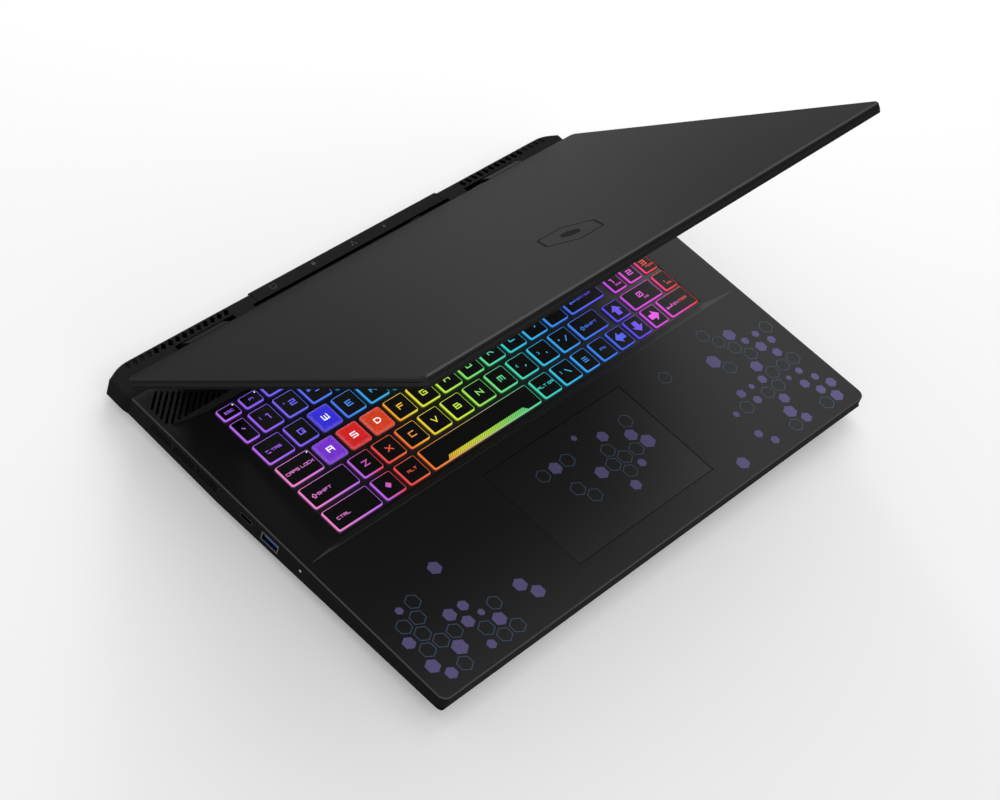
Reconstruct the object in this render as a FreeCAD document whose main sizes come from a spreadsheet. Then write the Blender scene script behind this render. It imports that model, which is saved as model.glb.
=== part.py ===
import FreeCAD, Part
import math
import os
import Sketcher

V = FreeCAD.Vector
doc = FreeCAD.newDocument("laptop")
sheet = doc.addObject("Spreadsheet::Sheet", "dims")
nodes = []


# A size keeps the expression that the model follows and the number that it gives now
class Size:
    def __init__(self, text, value):
        self.text = text
        self.value = value

    def __add__(self, other):
        other = asSize(other)
        return Size(f"({self.text} + {other.text})", self.value + other.value)

    def __sub__(self, other):
        other = asSize(other)
        return Size(f"({self.text} - {other.text})", self.value - other.value)

    def __mul__(self, other):
        other = asSize(other)
        return Size(f"({self.text} * {other.text})", self.value * other.value)

    def __truediv__(self, other):
        other = asSize(other)
        return Size(f"({self.text} / {other.text})", self.value / other.value)

    def __neg__(self):
        return Size(f"(0 - {self.text})", -self.value)

    def __radd__(self, other):
        return asSize(other) + self

    def __rsub__(self, other):
        return asSize(other) - self

    def __rmul__(self, other):
        return asSize(other) * self


def asSize(number):
    if isinstance(number, Size):
        return number
    return Size(f"{number:.9g}", float(number))


def size(name, number):
    row = len(sheet.getUsedCells()) // 2 + 1
    sheet.set(f"A{row}", name)
    sheet.set(f"B{row}", str(number))
    sheet.setAlias(f"B{row}", name)
    return Size(f"dims.{name}", float(number))


def smaller(a, b):
    return Size(f"min({a.text}; {b.text})", min(a.value, b.value))


# Building functions: every size that is passed in becomes an expression on the sheet
def bind(part, **properties):
    for name, number in properties.items():
        part.setExpression(name, asSize(number).text)


def at(part, x=0, y=0, z=0, axis=None, angle=0):
    if axis:
        part.Placement = FreeCAD.Placement(V(), FreeCAD.Rotation(V(*axis), 1))
        part.setExpression("Placement.Rotation.Angle", asSize(angle).text)
    for name, number in zip("xyz", (x, y, z)):
        part.setExpression(f"Placement.Base.{name}", asSize(number).text)
    return part


def box(x, y, z, length, width, height):
    part = doc.addObject("Part::Box", "box")
    bind(part, Length=length, Width=width, Height=height)
    return at(part, x, y, z)


def cylinder(x, y, z, radius, height, axis=None, angle=90):
    part = doc.addObject("Part::Cylinder", "cylinder")
    bind(part, Radius=radius, Height=height)
    return at(part, x, y, z, axis, angle)


def alongX(x, y, z, radius, length):
    return cylinder(x, y, z, radius, length, (0, 1, 0))


def group(parts):
    part = doc.addObject("Part::Compound", "group")
    part.Links = parts
    return part


def fuse(parts):
    part = doc.addObject("Part::MultiFuse", "joined")
    part.Shapes = parts
    return part


def cut(base, tools):
    part = doc.addObject("Part::Cut", "cut")
    part.Base = base
    part.Tool = tools[0] if len(tools) == 1 else group(tools)
    return part


def node(part, name):
    part.Label = name
    nodes.append(part)
    return part


def sketch(body, plane, polygons, height=0):
    part = body.newObject("Sketcher::SketchObject", "sketch")
    origin = next(o for o in body.Origin.OriginFeatures if o.Role == plane)
    part.AttachmentSupport = [(origin, "")]
    part.MapMode = "FlatFace"
    part.setExpression("AttachmentOffset.Base.z", asSize(height).text)
    for corners in polygons:
        corners = [(asSize(a), asSize(b)) for a, b in corners]
        first = part.GeometryCount
        count = len(corners)
        for i in range(count):
            start, end = corners[i], corners[(i + 1) % count]
            part.addGeometry(Part.LineSegment(V(start[0].value, start[1].value, 0),
                                              V(end[0].value, end[1].value, 0)), False)
        for i in range(count):
            part.addConstraint(Sketcher.Constraint("Coincident", first + i, 2, first + (i + 1) % count, 1))
        for i, corner in enumerate(corners):
            for kind, number in zip(("DistanceX", "DistanceY"), corner):
                index = part.addConstraint(Sketcher.Constraint(kind, -1, 1, first + i, 1, number.value))
                part.setExpression(f"Constraints[{index}]", number.text)
    return part


def rectangle(x, y, length, width):
    return [(x, y), (x + length, y), (x + length, y + width), (x, y + width)]


def newBody(name):
    return doc.addObject("PartDesign::Body", name)


def pad(body, profile, length, symmetric=False):
    part = body.newObject("PartDesign::Pad", "pad")
    part.Profile = profile
    part.SideType = "Symmetric" if symmetric else "One side"
    bind(part, Length=length)
    return part


def pocket(body, profile, length, upward=False, symmetric=False):
    part = body.newObject("PartDesign::Pocket", "pocket")
    part.Profile = profile
    part.SideType = "Symmetric" if symmetric else "One side"
    part.Reversed = upward
    bind(part, Length=length)
    return part


def edgeNames(shape, test):
    found = []
    for i, edge in enumerate(shape.Edges):
        points = [v.Point for v in edge.Vertexes]
        if len(points) == 2 and test(points[0], points[1], edge):
            found.append(f"Edge{i + 1}")
    return found


def near(a, b):
    return abs(a - b) < 1e-4


def upright(a, b):
    return near(a.x, b.x) and near(a.y, b.y) and not near(a.z, b.z)


def dress(body, kind, test, property, number):
    doc.recompute()
    last = body.Tip
    part = body.newObject(f"PartDesign::{kind}", kind.lower())
    part.Base = (last, edgeNames(last.Shape, test))
    part.setExpression(property, number.text)
    doc.recompute()
    return part


# Base shell sizes
baseWidth = size("baseWidth", 383)
baseDepth = size("baseDepth", 277)
deckTop = size("deckTop", 20)
deckThickness = size("deckThickness", 1.8)
wallThickness = size("wallThickness", 1.8)
frontLip = size("frontLip", 10.7)
kneeLip = size("kneeLip", 5.2)
rearLip = size("rearLip", 7.4)
kneeFromRear = size("kneeFromRear", 100.5)
footHeight = size("footHeight", 2)
floorThickness = size("floorThickness", 1.5)
sideFlare = size("sideFlare", 1.2)
frontUndercut = size("frontUndercut", 22)
rearUndercut = size("rearUndercut", 8)
cornerRadius = size("cornerRadius", 5.5)
rearCornerRadius = size("rearCornerRadius", 16)
rearCornerRun = size("rearCornerRun", 11.5)
rearCornerDrop = size("rearCornerDrop", 5.1)
rearCornerBlend = size("rearCornerBlend", 30)
edgeBreak = size("edgeBreak", 0.7)
rearBlockProud = size("rearBlockProud", 1)
rearBlockTaper = size("rearBlockTaper", 4)
rearStep = size("rearStep", 1.2)
rearStepFromSide = size("rearStepFromSide", 111.5)

# Hinge and lid sizes
hingeFromRear = size("hingeFromRear", 16.5)
hingeAboveDeck = size("hingeAboveDeck", 0.5)
deckToHinge = size("deckToHinge", 8)
lidRestAngle = size("lidRestAngle", 44)
lidSetback = size("lidSetback", 6.9)
lidOverhang = size("lidOverhang", 1)
lidThickness = size("lidThickness", 6.5)
lidSkin = size("lidSkin", 1.3)
lidWall = size("lidWall", 1.6)
lidFrontRadius = size("lidFrontRadius", 3.5)
lidRearRadius = size("lidRearRadius", 4)
lidEdgeBreak = size("lidEdgeBreak", 1)
lidGrooveFromTop = size("lidGrooveFromTop", 2.8)
lidGrooveWidth = size("lidGrooveWidth", 0.6)
lidGrooveDepth = size("lidGrooveDepth", 0.35)
bezelThickness = size("bezelThickness", 1.6)
bezelInset = size("bezelInset", 0.35)
bezelSide = size("bezelSide", 9)
bezelTop = size("bezelTop", 10)
bezelChin = size("bezelChin", 17.5)
panelLap = size("panelLap", 4)
panelThickness = size("panelThickness", 2.6)
panelBoardLength = size("panelBoardLength", 180)
panelBoardWidth = size("panelBoardWidth", 5)
lobeFromSide = size("lobeFromSide", 48.5)
lobeLength = size("lobeLength", 31)
lobeWall = size("lobeWall", 1.2)
pinRadius = size("pinRadius", 2.5)
pinClearance = size("pinClearance", 0.05)
pinGrip = size("pinGrip", 4)
knuckleRadius = size("knuckleRadius", 4.2)
knuckleLength = size("knuckleLength", 9)
knuckleGap = size("knuckleGap", 1.5)
leafLength = size("leafLength", 48)
leafThickness = size("leafThickness", 0.8)
leafClearance = size("leafClearance", 0.4)
lobeHoleClearance = size("lobeHoleClearance", 0.2)
hingeWindow = size("hingeWindow", 2)
hingeSwingRoom = size("hingeSwingRoom", 1.95)
bracketLength = size("bracketLength", 40)
bracketThickness = size("bracketThickness", 2)
bumperHeight = size("bumperHeight", 0.35)
bumperLength = size("bumperLength", 14)
bumperWidth = size("bumperWidth", 2)
bumperFromWindow = size("bumperFromWindow", 1.5)
bumperFromSide = size("bumperFromSide", 41.5)
cameraLength = size("cameraLength", 60)
cameraWidth = size("cameraWidth", 4)
cameraHeight = size("cameraHeight", 2)
lensRadius = size("lensRadius", 1.5)
cameraClearance = size("cameraClearance", 0.3)
lensClearance = size("lensClearance", 0.1)

# Keyboard and touchpad sizes
keyPitch = size("keyPitch", 19.05)
keyGap = size("keyGap", 2.8)
keyHeight = size("keyHeight", 2)
keyProud = size("keyProud", 0.1)
keyTaper = size("keyTaper", 0.6)
keyTravel = size("keyTravel", 1.5)
keyFloorGap = size("keyFloorGap", 0.1)
keysOffCentre = size("keysOffCentre", 1.7)
keysFromSide = size("keysFromSide", 30.81)
keysFromDeckRear = size("keysFromDeckRear", 137.5)
keyFieldPad = size("keyFieldPad", 0.9)
wellDepth = size("wellDepth", 0.8)
wellMargin = size("wellMargin", 1.9)
wellRun = size("wellRun", 3.8)
wellFromSide = size("wellFromSide", 4)
plateThickness = size("plateThickness", 0.8)
plateRim = size("plateRim", 6)
padWidth = size("padWidth", 120.5)
padToKeys = size("padToKeys", 18.7)
padFromFront = size("padFromFront", 19)
padFromCentre = size("padFromCentre", 0.75)
padThickness = size("padThickness", 1.6)
padSunk = size("padSunk", 0.2)
padClearance = size("padClearance", 0.4)
padTravelRoom = size("padTravelRoom", 0.9)
bracketPlate = size("bracketPlate", 1)
bracketRail = size("bracketRail", 7)
pivotRadius = size("pivotRadius", 0.5)
pivotLength = size("pivotLength", 84)
pivotFromEdge = size("pivotFromEdge", 1.5)
pivotClearance = size("pivotClearance", 0.05)
pivotShelf = size("pivotShelf", 6)

# Inside sizes
boardBottom = size("boardBottom", 8.3)
boardThickness = size("boardThickness", 1.2)
boardFanGap = size("boardFanGap", 2)
boardFromFront = size("boardFromFront", 98.5)
boardFromRear = size("boardFromRear", 6.5)
chipHeight = size("chipHeight", 0.8)
portBoardThickness = size("portBoardThickness", 1.5)
portBoardWidth = size("portBoardWidth", 46)
portBoardGap = size("portBoardGap", 5)
portBoardDepth = size("portBoardDepth", 55)
bossRadius = size("bossRadius", 3.4)
screwRadius = size("screwRadius", 1.2)
screwHeadRadius = size("screwHeadRadius", 2.6)
screwHeadHeight = size("screwHeadHeight", 0.9)
screwClearance = size("screwClearance", 0.1)
fanSide = size("fanSide", 78)
fanHeight = size("fanHeight", 10)
fanWall = size("fanWall", 0.8)
fanFromSide = size("fanFromSide", 55.5)
fanFromRear = size("fanFromRear", 76.5)
fanChamber = size("fanChamber", 34)
fanInlet = size("fanInlet", 24)
fanSpoke = size("fanSpoke", 5)
axleRadius = size("axleRadius", 1.5)
rotorRadius = size("rotorRadius", 31)
hubRadius = size("hubRadius", 13)
bladeThickness = size("bladeThickness", 1)
rotorGap = size("rotorGap", 0.8)
finLength = size("finLength", 74)
finDepth = size("finDepth", 25)
finFromRear = size("finFromRear", 34)
finThickness = size("finThickness", 0.8)
pipeWidth = size("pipeWidth", 7)
pipeHeight = size("pipeHeight", 2.4)
pipeFromRear = size("pipeFromRear", 31)
coldPlateWidth = size("coldPlateWidth", 84)
coldPlateDepth = size("coldPlateDepth", 42)
coldPlateHeight = size("coldPlateHeight", 1.5)
coldPlateFromRear = size("coldPlateFromRear", 104)
batterySpeakerGap = size("batterySpeakerGap", 10)
batteryDepth = size("batteryDepth", 70)
batteryHeight = size("batteryHeight", 8.5)
batteryFromFront = size("batteryFromFront", 25)
batteryTray = size("batteryTray", 0.8)
cellGap = size("cellGap", 2)
speakerWidth = size("speakerWidth", 46)
speakerBoardGap = size("speakerBoardGap", 25.5)
speakerHeight = size("speakerHeight", 8)
speakerFromSide = size("speakerFromSide", 63.5)
speakerFromFront = size("speakerFromFront", 27)
driverRadius = size("driverRadius", 15)
driverHeight = size("driverHeight", 1.2)

# Port sizes
portWall = size("portWall", 0.5)
portClearance = size("portClearance", 0.15)
usbWidth = size("usbWidth", 12.4)
usbHeight = size("usbHeight", 5)
usbDepth = size("usbDepth", 14)
usbTongue = size("usbTongue", 1.8)
usbSmallWidth = size("usbSmallWidth", 8.4)
usbSmallHeight = size("usbSmallHeight", 2.6)
usbSmallDepth = size("usbSmallDepth", 8)
usbSmallTongue = size("usbSmallTongue", 0.7)
usbSmallLift = size("usbSmallLift", 1.8)
networkWidth = size("networkWidth", 12)
networkHeight = size("networkHeight", 7)
networkDepth = size("networkDepth", 18)
videoWidth = size("videoWidth", 14)
videoHeight = size("videoHeight", 4.6)
videoDepth = size("videoDepth", 11)
videoTongue = size("videoTongue", 1.4)
jackBore = size("jackBore", 1.8)
jackNose = size("jackNose", 2.6)
jackSide = size("jackSide", 6)
jackDepth = size("jackDepth", 13)
inletBore = size("inletBore", 2.8)
inletNose = size("inletNose", 4)
inletSide = size("inletSide", 8.4)
inletDepth = size("inletDepth", 12)
usbSmallFromFan = size("usbSmallFromFan", 6.5)
usbLeftFromFan = size("usbLeftFromFan", 26)
lightFromFan = size("lightFromFan", 50.5)
lightZ = size("lightZ", 13.7)
lightRadius = size("lightRadius", 0.8)
networkFromFan = size("networkFromFan", 15)
usbRightFromFan = size("usbRightFromFan", 35)
jackFromFan = size("jackFromFan", 51)
videoX = size("videoX", 30)
inletX = size("inletX", 55)

# Vent sizes
slotWidth = size("slotWidth", 2.7)
slotLength = size("slotLength", 4)
slotPitch = size("slotPitch", 5.4)
slotAngle = size("slotAngle", 35)
slotFromSide = size("slotFromSide", 62.5)
slotFromRear = size("slotFromRear", 3.4)
blindSlotDepth = size("blindSlotDepth", 0.5)
rearSlotHeight = size("rearSlotHeight", 2.8)
rearSlotFromTop = size("rearSlotFromTop", 9)
lidGap = size("lidGap", 2.2)
lidGapFromRear = size("lidGapFromRear", 8.5)
lidGapPastStep = size("lidGapPastStep", 4)
seamWidth = size("seamWidth", 0.4)
grilleLength = size("grilleLength", 17)
grillePitch = size("grillePitch", 19)
grilleHeight = size("grilleHeight", 1.1)
grilleRowPitch = size("grilleRowPitch", 1.8)
grilleFromFan = size("grilleFromFan", 6.5)
grilleLow = size("grilleLow", 11.4)
cornerVentWidth = size("cornerVentWidth", 1.4)
cornerVentAngle = size("cornerVentAngle", 39)
cornerVentSide = size("cornerVentSide", 3.4)
cornerVentDepth = size("cornerVentDepth", 25.5)
intakeWidth = size("intakeWidth", 2.4)
intakeLength = size("intakeLength", 52)
intakePitch = size("intakePitch", 5.6)
soundSlotLength = size("soundSlotLength", 26)
footWidth = size("footWidth", 9)
rearFootFromSide = size("rearFootFromSide", 46.5)
rearFootFromRear = size("rearFootFromRear", 43)
frontFootFromSide = size("frontFootFromSide", 17.5)
frontFootLength = size("frontFootLength", 70)

# Lines that the pieces share
left = -baseWidth / 2
right = baseWidth / 2
front = -baseDepth / 2
rear = baseDepth / 2
rearMain = rear - rearStep
hingeY = rear - hingeFromRear
hingeZ = deckTop + hingeAboveDeck
deckRear = hingeY - deckToHinge
kneeY = rear - kneeFromRear
lobeStart = right - lobeFromSide - lobeLength
slotMiddle = right - slotFromSide
rearStepHalf = right - rearStepFromSide
deckUnder = deckTop - deckThickness
floorTop = footHeight + floorThickness
boardTop = boardBottom + boardThickness
portBoardTop = boardBottom + portBoardThickness
finTop = boardTop + chipHeight
keyFieldWide = 16.87
keyFieldDeep = 5.62
keyFieldWidth = baseWidth - keysFromSide * 2
keyColumn = keyFieldWidth / keyFieldWide
keyFieldDepth = keyPitch * keyFieldDeep
keysLeft = keysOffCentre - keyFieldWidth / 2
keysFront = deckRear - keysFromDeckRear
keyTop = deckTop + keyProud
keyBottom = keyTop - keyHeight
plateTop = keyBottom - keyTravel - keyFloorGap
padTop = deckTop - padSunk
padLeft = -padFromCentre - padWidth / 2
padFront = front + padFromFront
padDepth = keysFront - padToKeys - padFront
fanX = right - fanFromSide
fanY = rear - fanFromRear
portRow = fanY - fanSide / 2
portBoardRear = portRow - boardFanGap
portBoardFront = portBoardRear - portBoardDepth
usbSmallY = portRow - usbSmallFromFan
usbLeftY = portRow - usbLeftFromFan
lightY = portRow - lightFromFan
networkY = portRow - networkFromFan
usbRightY = portRow - usbRightFromFan
jackY = portRow - jackFromFan
grilleMiddle = fanY + grilleFromFan
boardHalf = fanX - fanSide / 2 - boardFanGap
boardFront = front + boardFromFront
boardRear = rear - boardFromRear
speakerX = right - speakerFromSide
speakerFront = front + speakerFromFront
speakerDepth = portBoardFront - speakerBoardGap - speakerFront


# The line where the top case meets the bottom cover falls to a knee and then rises to the rear
def partingZ(y):
    if y.value < kneeY.value:
        return frontLip + (kneeLip - frontLip) * (y - front) / (kneeY - front)
    return kneeLip + (rearLip - kneeLip) * (y - kneeY) / (rear - kneeY)


# Top case: the deck with its front and side walls, the sunk key field and the two openings
caseBody = newBody("top_case_body")
profile = sketch(caseBody, "YZ_Plane", [[(front, frontLip), (front, deckTop), (deckRear, deckTop),
                                         (deckRear, partingZ(deckRear)), (kneeY, kneeLip)]])
pad(caseBody, profile, baseWidth, symmetric=True)
dress(caseBody, "Fillet", lambda a, b, e: upright(a, b) and near(a.y, front.value), "Radius", cornerRadius)
dress(caseBody, "Chamfer", lambda a, b, e: near(a.z, deckTop.value) and near(b.z, deckTop.value)
      and not (near(a.y, deckRear.value) and near(b.y, deckRear.value)), "Size", edgeBreak)
inside = rectangle(left + wallThickness, front + wallThickness, baseWidth - wallThickness * 2,
                   deckRear - front + wallThickness)
pocket(caseBody, sketch(caseBody, "XY_Plane", [inside]), deckUnder, upward=True)
fieldLeft = keysLeft - keyFieldPad
fieldFront = keysFront - keyFieldPad
fieldWidth = keyFieldWidth - keyGap + keyFieldPad * 2
fieldDepth = keyFieldDepth - keyGap + keyFieldPad * 2
keyField = rectangle(fieldLeft, fieldFront, fieldWidth, fieldDepth)
padField = rectangle(padLeft - padClearance, padFront - padClearance, padWidth + padClearance * 2,
                     padDepth + padClearance * 2)
pocket(caseBody, sketch(caseBody, "XY_Plane", [keyField, padField], deckTop), deckThickness * 2)

# The field is sunk by a flat frustum with a short slope in front and long ramps out to the sides
wellLeft = fieldLeft - wellMargin
wellRight = fieldLeft + fieldWidth + wellMargin
wellFront = fieldFront - wellMargin
wellRear = fieldFront + fieldDepth + wellMargin
rampLeft = wellLeft - (left + wellFromSide)
rampRight = right - wellFromSide - wellRight
well = doc.addObject("Part::Wedge", "well")
bind(well, Xmin=wellLeft, Xmax=wellRight, Ymin=0, Ymax=wellDepth * 2, Zmin=-wellRear, Zmax=-wellFront,
     X2min=wellLeft - rampLeft * 2, X2max=wellRight + rampRight * 2, Z2min=-wellRear - wellRun * 2,
     Z2max=-wellFront + wellRun * 2)
at(well, 0, 0, deckTop - wellDepth, (1, 0, 0), 90)

caseCuts = [well]
cornerVentCount = 13
ventRun = size("ventRun", 34)
ventDrop = size("ventDrop", 21.5)
ventStart = size("ventStart", 14.5)
ventRearGap = size("ventRearGap", 3)
for side in (-1, 1):
    for i in range(cornerVentCount):
        x = right - ventStart - ventRun * (i / (cornerVentCount - 1))
        y = deckRear - ventRearGap - ventDrop * (i / (cornerVentCount - 1))
        c, s = math.cos(math.radians(cornerVentAngle.value)), math.sin(math.radians(cornerVentAngle.value))
        ventFront = deckRear - cornerVentDepth
        reach = smaller((right - cornerVentSide - x) / c, (y - ventFront) / s + cornerVentWidth / 2)
        slot = box(0, 0, 0, reach, cornerVentWidth, deckThickness * 4)
        at(slot, x * side, y, deckTop - deckThickness * 2, (0, 0, 1),
           -cornerVentAngle if side > 0 else cornerVentAngle + 180)
        caseCuts.append(slot)
    wallX = left - wallThickness if side < 0 else right - wallThickness * 2
    for i in (-1, 0, 1):
        for row in range(3):
            caseCuts.append(box(wallX, grilleMiddle + grillePitch * i - grilleLength / 2,
                                grilleLow + grilleRowPitch * row, wallThickness * 3, grilleLength,
                                grilleHeight))


def wallOpening(side, y, z, width, height):
    wallX = left - wallThickness if side < 0 else right - wallThickness * 2
    return box(wallX, y - width / 2 - portWall - portClearance, z - portClearance, wallThickness * 3,
               width + (portWall + portClearance) * 2, height + (portWall + portClearance) * 2)


usbSmallZ = portBoardTop + usbSmallLift
jackZ = portBoardTop + jackSide / 2
caseCuts.append(wallOpening(-1, usbSmallY, usbSmallZ, usbSmallWidth, usbSmallHeight))
caseCuts.append(wallOpening(-1, usbLeftY, portBoardTop, usbWidth, usbHeight))
caseCuts.append(wallOpening(1, networkY, portBoardTop, networkWidth, networkHeight))
caseCuts.append(wallOpening(1, usbRightY, portBoardTop, usbWidth, usbHeight))
caseCuts.append(alongX(right - wallThickness * 2, jackY, jackZ, jackNose + portClearance, wallThickness * 3))
caseCuts.append(alongX(left - wallThickness, lightY, lightZ, lightRadius + portClearance, wallThickness * 3))
node(cut(caseBody, caseCuts), "top_case")
node(alongX(left, lightY, lightZ, lightRadius, wallThickness), "status_light")

# Rear block: shelf behind the hinges with the exhaust slots and the windows for the hinges
blockBody = newBody("rear_block_body")
blockSide = baseWidth / 2 + rearBlockProud
cornerStart = blockSide - rearCornerRun
outline = [(-blockSide, deckRear + rearBlockTaper), (left, deckRear), (right, deckRear),
           (blockSide, deckRear + rearBlockTaper), (blockSide, rearMain - rearCornerDrop),
           (cornerStart, rearMain), (rearStepHalf + rearStep, rearMain), (rearStepHalf, rear),
           (-rearStepHalf, rear), (-rearStepHalf - rearStep, rearMain), (-cornerStart, rearMain),
           (-blockSide, rearMain - rearCornerDrop)]
pad(blockBody, sketch(blockBody, "XY_Plane", [outline]), deckTop)
under = [(deckRear - 1, -1), (rear + 1, -1), (rear + 1, partingZ(rear + 1)), (deckRear - 1, partingZ(deckRear - 1))]
pocket(blockBody, sketch(blockBody, "YZ_Plane", [under]), blockSide * 4, symmetric=True)
dress(blockBody, "Fillet", lambda a, b, e: upright(a, b) and near(a.y, rearMain.value)
      and near(abs(a.x), cornerStart.value), "Radius", rearCornerBlend)
dress(blockBody, "Chamfer", lambda a, b, e: near(a.z, deckTop.value) and near(b.z, deckTop.value)
      and not (near(a.y, deckRear.value) and near(b.y, deckRear.value)), "Size", edgeBreak)
hollowSide = blockSide - wallThickness
hollowRear = rearMain - wallThickness
hollowCorner = rearCornerRadius
hollow = [(-hollowSide, deckRear - 1), (hollowSide, deckRear - 1), (hollowSide, hollowRear - hollowCorner),
          (hollowSide - hollowCorner, hollowRear), (hollowCorner - hollowSide, hollowRear),
          (-hollowSide, hollowRear - hollowCorner)]
pocket(blockBody, sketch(blockBody, "XY_Plane", [hollow]), deckUnder, upward=True)

blockCuts = []
slotCount = 11
blindSlotCount = 4


def topSlot(side, x, y, bottom):
    c, s = math.cos(math.radians(slotAngle.value)), side * math.sin(math.radians(slotAngle.value))
    slot = box(0, 0, 0, slotWidth, slotLength, deckTop - bottom + 1)
    return at(slot, x - slotWidth / 2 * c + slotLength / 2 * s, y - slotWidth / 2 * s - slotLength / 2 * c, bottom,
              (0, 0, 1), slotAngle * side)


slotY = rearMain - slotFromRear
for side in (-1, 1):
    for i in range(slotCount + blindSlotCount):
        x = (slotMiddle + slotPitch * (i - (slotCount - 1) / 2)) * side
        blind = i >= slotCount
        blockCuts.append(topSlot(side, x, slotY, deckTop - blindSlotDepth if blind else deckUnder - 1))
        if not blind:
            blockCuts.append(box(x - slotWidth / 2, hollowRear - 1, deckTop - rearSlotFromTop - rearSlotHeight,
                                 slotWidth, wallThickness + 2, rearSlotHeight))
    blockCuts.append(box(rearStepHalf * side - seamWidth / 2, rear - lidGapFromRear, deckTop - blindSlotDepth, seamWidth,
                         lidGapFromRear + 1, blindSlotDepth + 1))
    windowLength = lobeLength + knuckleLength + knuckleGap + hingeWindow * 2
    windowStart = lobeStart - knuckleLength - knuckleGap - hingeWindow
    x = windowStart if side > 0 else -windowStart - windowLength
    blockCuts.append(box(x, deckRear - 1, deckUnder - 1, windowLength,
                         lidThickness + hingeSwingRoom + deckToHinge + 1, deckThickness + 2))
gapHalf = rearStepHalf + lidGapPastStep
blockCuts.append(box(-gapHalf, rear - lidGapFromRear - lidGap, deckUnder - 1, gapHalf * 2, lidGap, deckThickness + 2))
videoZ = boardTop
inletZ = boardTop + inletSide / 2
blockCuts.append(box(videoX - videoWidth / 2 - portWall - portClearance, hollowRear - 1, videoZ - portClearance,
                     videoWidth + (portWall + portClearance) * 2, wallThickness + rearStep + 2,
                     videoHeight + (portWall + portClearance) * 2))
blockCuts.append(cylinder(inletX, rear + 1, inletZ, inletNose + portClearance, wallThickness + rearStep + 3,
                          (1, 0, 0)))
node(cut(blockBody, blockCuts), "rear_vent_bezel")


# Bottom cover: a tray with sloping sides, bosses for the screws, air and sound slots
def traySolid(inset, floorZ, frontCorner, rearCorner):
    def corner(side, y, z):
        x = baseWidth / 2 - inset - sideFlare * (partingZ(y) - z)
        return V(side * x.value, y.value, z.value)

    yFront = front + inset
    yRear = rearMain - inset
    yFrontLow = yFront + frontUndercut * (frontLip - floorZ) / (frontLip - footHeight)
    yRearLow = yRear - rearUndercut * (rearLip - floorZ) / (rearLip - footHeight)
    stations = [(-1, yFront, yFrontLow), (1, yFront, yFrontLow), (1, kneeY, kneeY), (1, yRear, yRearLow),
                (-1, yRear, yRearLow), (-1, kneeY, kneeY)]
    high = [corner(side, y, partingZ(y)) for side, y, yLow in stations]
    low = [corner(side, yLow, floorZ) for side, y, yLow in stations]
    rings = [[high[0], high[1], high[2], high[5]], [high[5], high[2], high[3], high[4]], low[::-1]]
    for i in range(6):
        rings.append([low[i], low[(i + 1) % 6], high[(i + 1) % 6], high[i]])
    faces = [Part.Face(Part.makePolygon(ring + ring[:1])) for ring in rings]
    solid = Part.makeSolid(Part.makeShell(faces))
    slanted = []
    for edge in solid.Edges:
        a, b = [v.Point for v in edge.Vertexes]
        if not near(a.z, b.z) and a.x * b.x > 0 and not near(a.x, b.x) and a.y < 0 and b.y < 0:
            slanted.append(edge)
    solid = solid.makeFillet(frontCorner.value, slanted)
    moved = []
    for edge in solid.Edges:
        if len(edge.Vertexes) == 2 and edge.Curve.TypeId == "Part::GeomLine":
            a, b = [v.Point for v in edge.Vertexes]
            if not near(a.z, b.z) and not near(a.x, b.x) and min(a.y, b.y) > kneeY.value + 1:
                moved.append(edge)
    return solid.makeFillet(rearCorner.value, moved)


doc.recompute()
trayOuter = doc.addObject("Part::Feature", "tray_outer")
trayOuter.Shape = traySolid(asSize(0), footHeight, cornerRadius, rearCornerRadius)
trayInner = doc.addObject("Part::Feature", "tray_inner")
trayInner.Shape = traySolid(wallThickness, floorTop, cornerRadius - wallThickness,
                            rearCornerRadius - wallThickness)
bossInset = size("bossInset", 9)
bossFromBoardRear = size("bossFromBoardRear", 34)
portBossFromSide = size("portBossFromSide", 40.5)
portBossInset = size("portBossInset", 11)
bossX = boardHalf - bossInset
bossFrontY = boardFront + bossInset
bossRearY = boardRear - bossFromBoardRear
portBossX = right - portBossFromSide
portBossFrontY = portBoardFront + portBossInset
portBossRearY = portBoardRear - portBossInset
bossPlaces = [(-bossX, bossFrontY), (0, bossFrontY), (bossX, bossFrontY), (-bossX, bossRearY), (bossX, bossRearY),
              (-portBossX, portBossFrontY), (-portBossX, portBossRearY), (portBossX, portBossFrontY),
              (portBossX, portBossRearY)]
bosses = [cylinder(x, y, floorTop - floorThickness / 2, bossRadius, boardBottom - floorTop + floorThickness / 2)
          for x, y in bossPlaces]
trayCuts = []
screws = []
for x, y in bossPlaces:
    trayCuts.append(fuse([cylinder(x, y, footHeight - 1, screwHeadRadius + screwClearance, screwHeadHeight + 1),
                          cylinder(x, y, footHeight - 1, screwRadius + screwClearance, boardBottom)]))
    screws.append(fuse([cylinder(x, y, footHeight, screwHeadRadius, screwHeadHeight),
                        cylinder(x, y, footHeight, screwRadius, boardBottom - footHeight - screwClearance)]))
intakeCount = 9
for side in (-1, 1):
    for i in range(intakeCount):
        trayCuts.append(box(fanX * side - intakeLength / 2,
                            fanY + intakePitch * (i - (intakeCount - 1) / 2) - intakeWidth / 2,
                            footHeight - 1, intakeLength, intakeWidth, floorThickness + 1.5))
    for i in range(4):
        trayCuts.append(box((speakerX + speakerWidth / 2) * side - soundSlotLength / 2,
                            speakerFront + speakerDepth / 2 + intakePitch * (i - 1.5) - intakeWidth / 2,
                            footHeight - 1, soundSlotLength, intakeWidth, floorThickness + 1.5))
tray = cut(trayOuter, [trayInner])
node(cut(fuse([tray] + bosses), trayCuts), "bottom_cover")
node(group(screws), "bottom_screws")

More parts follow.
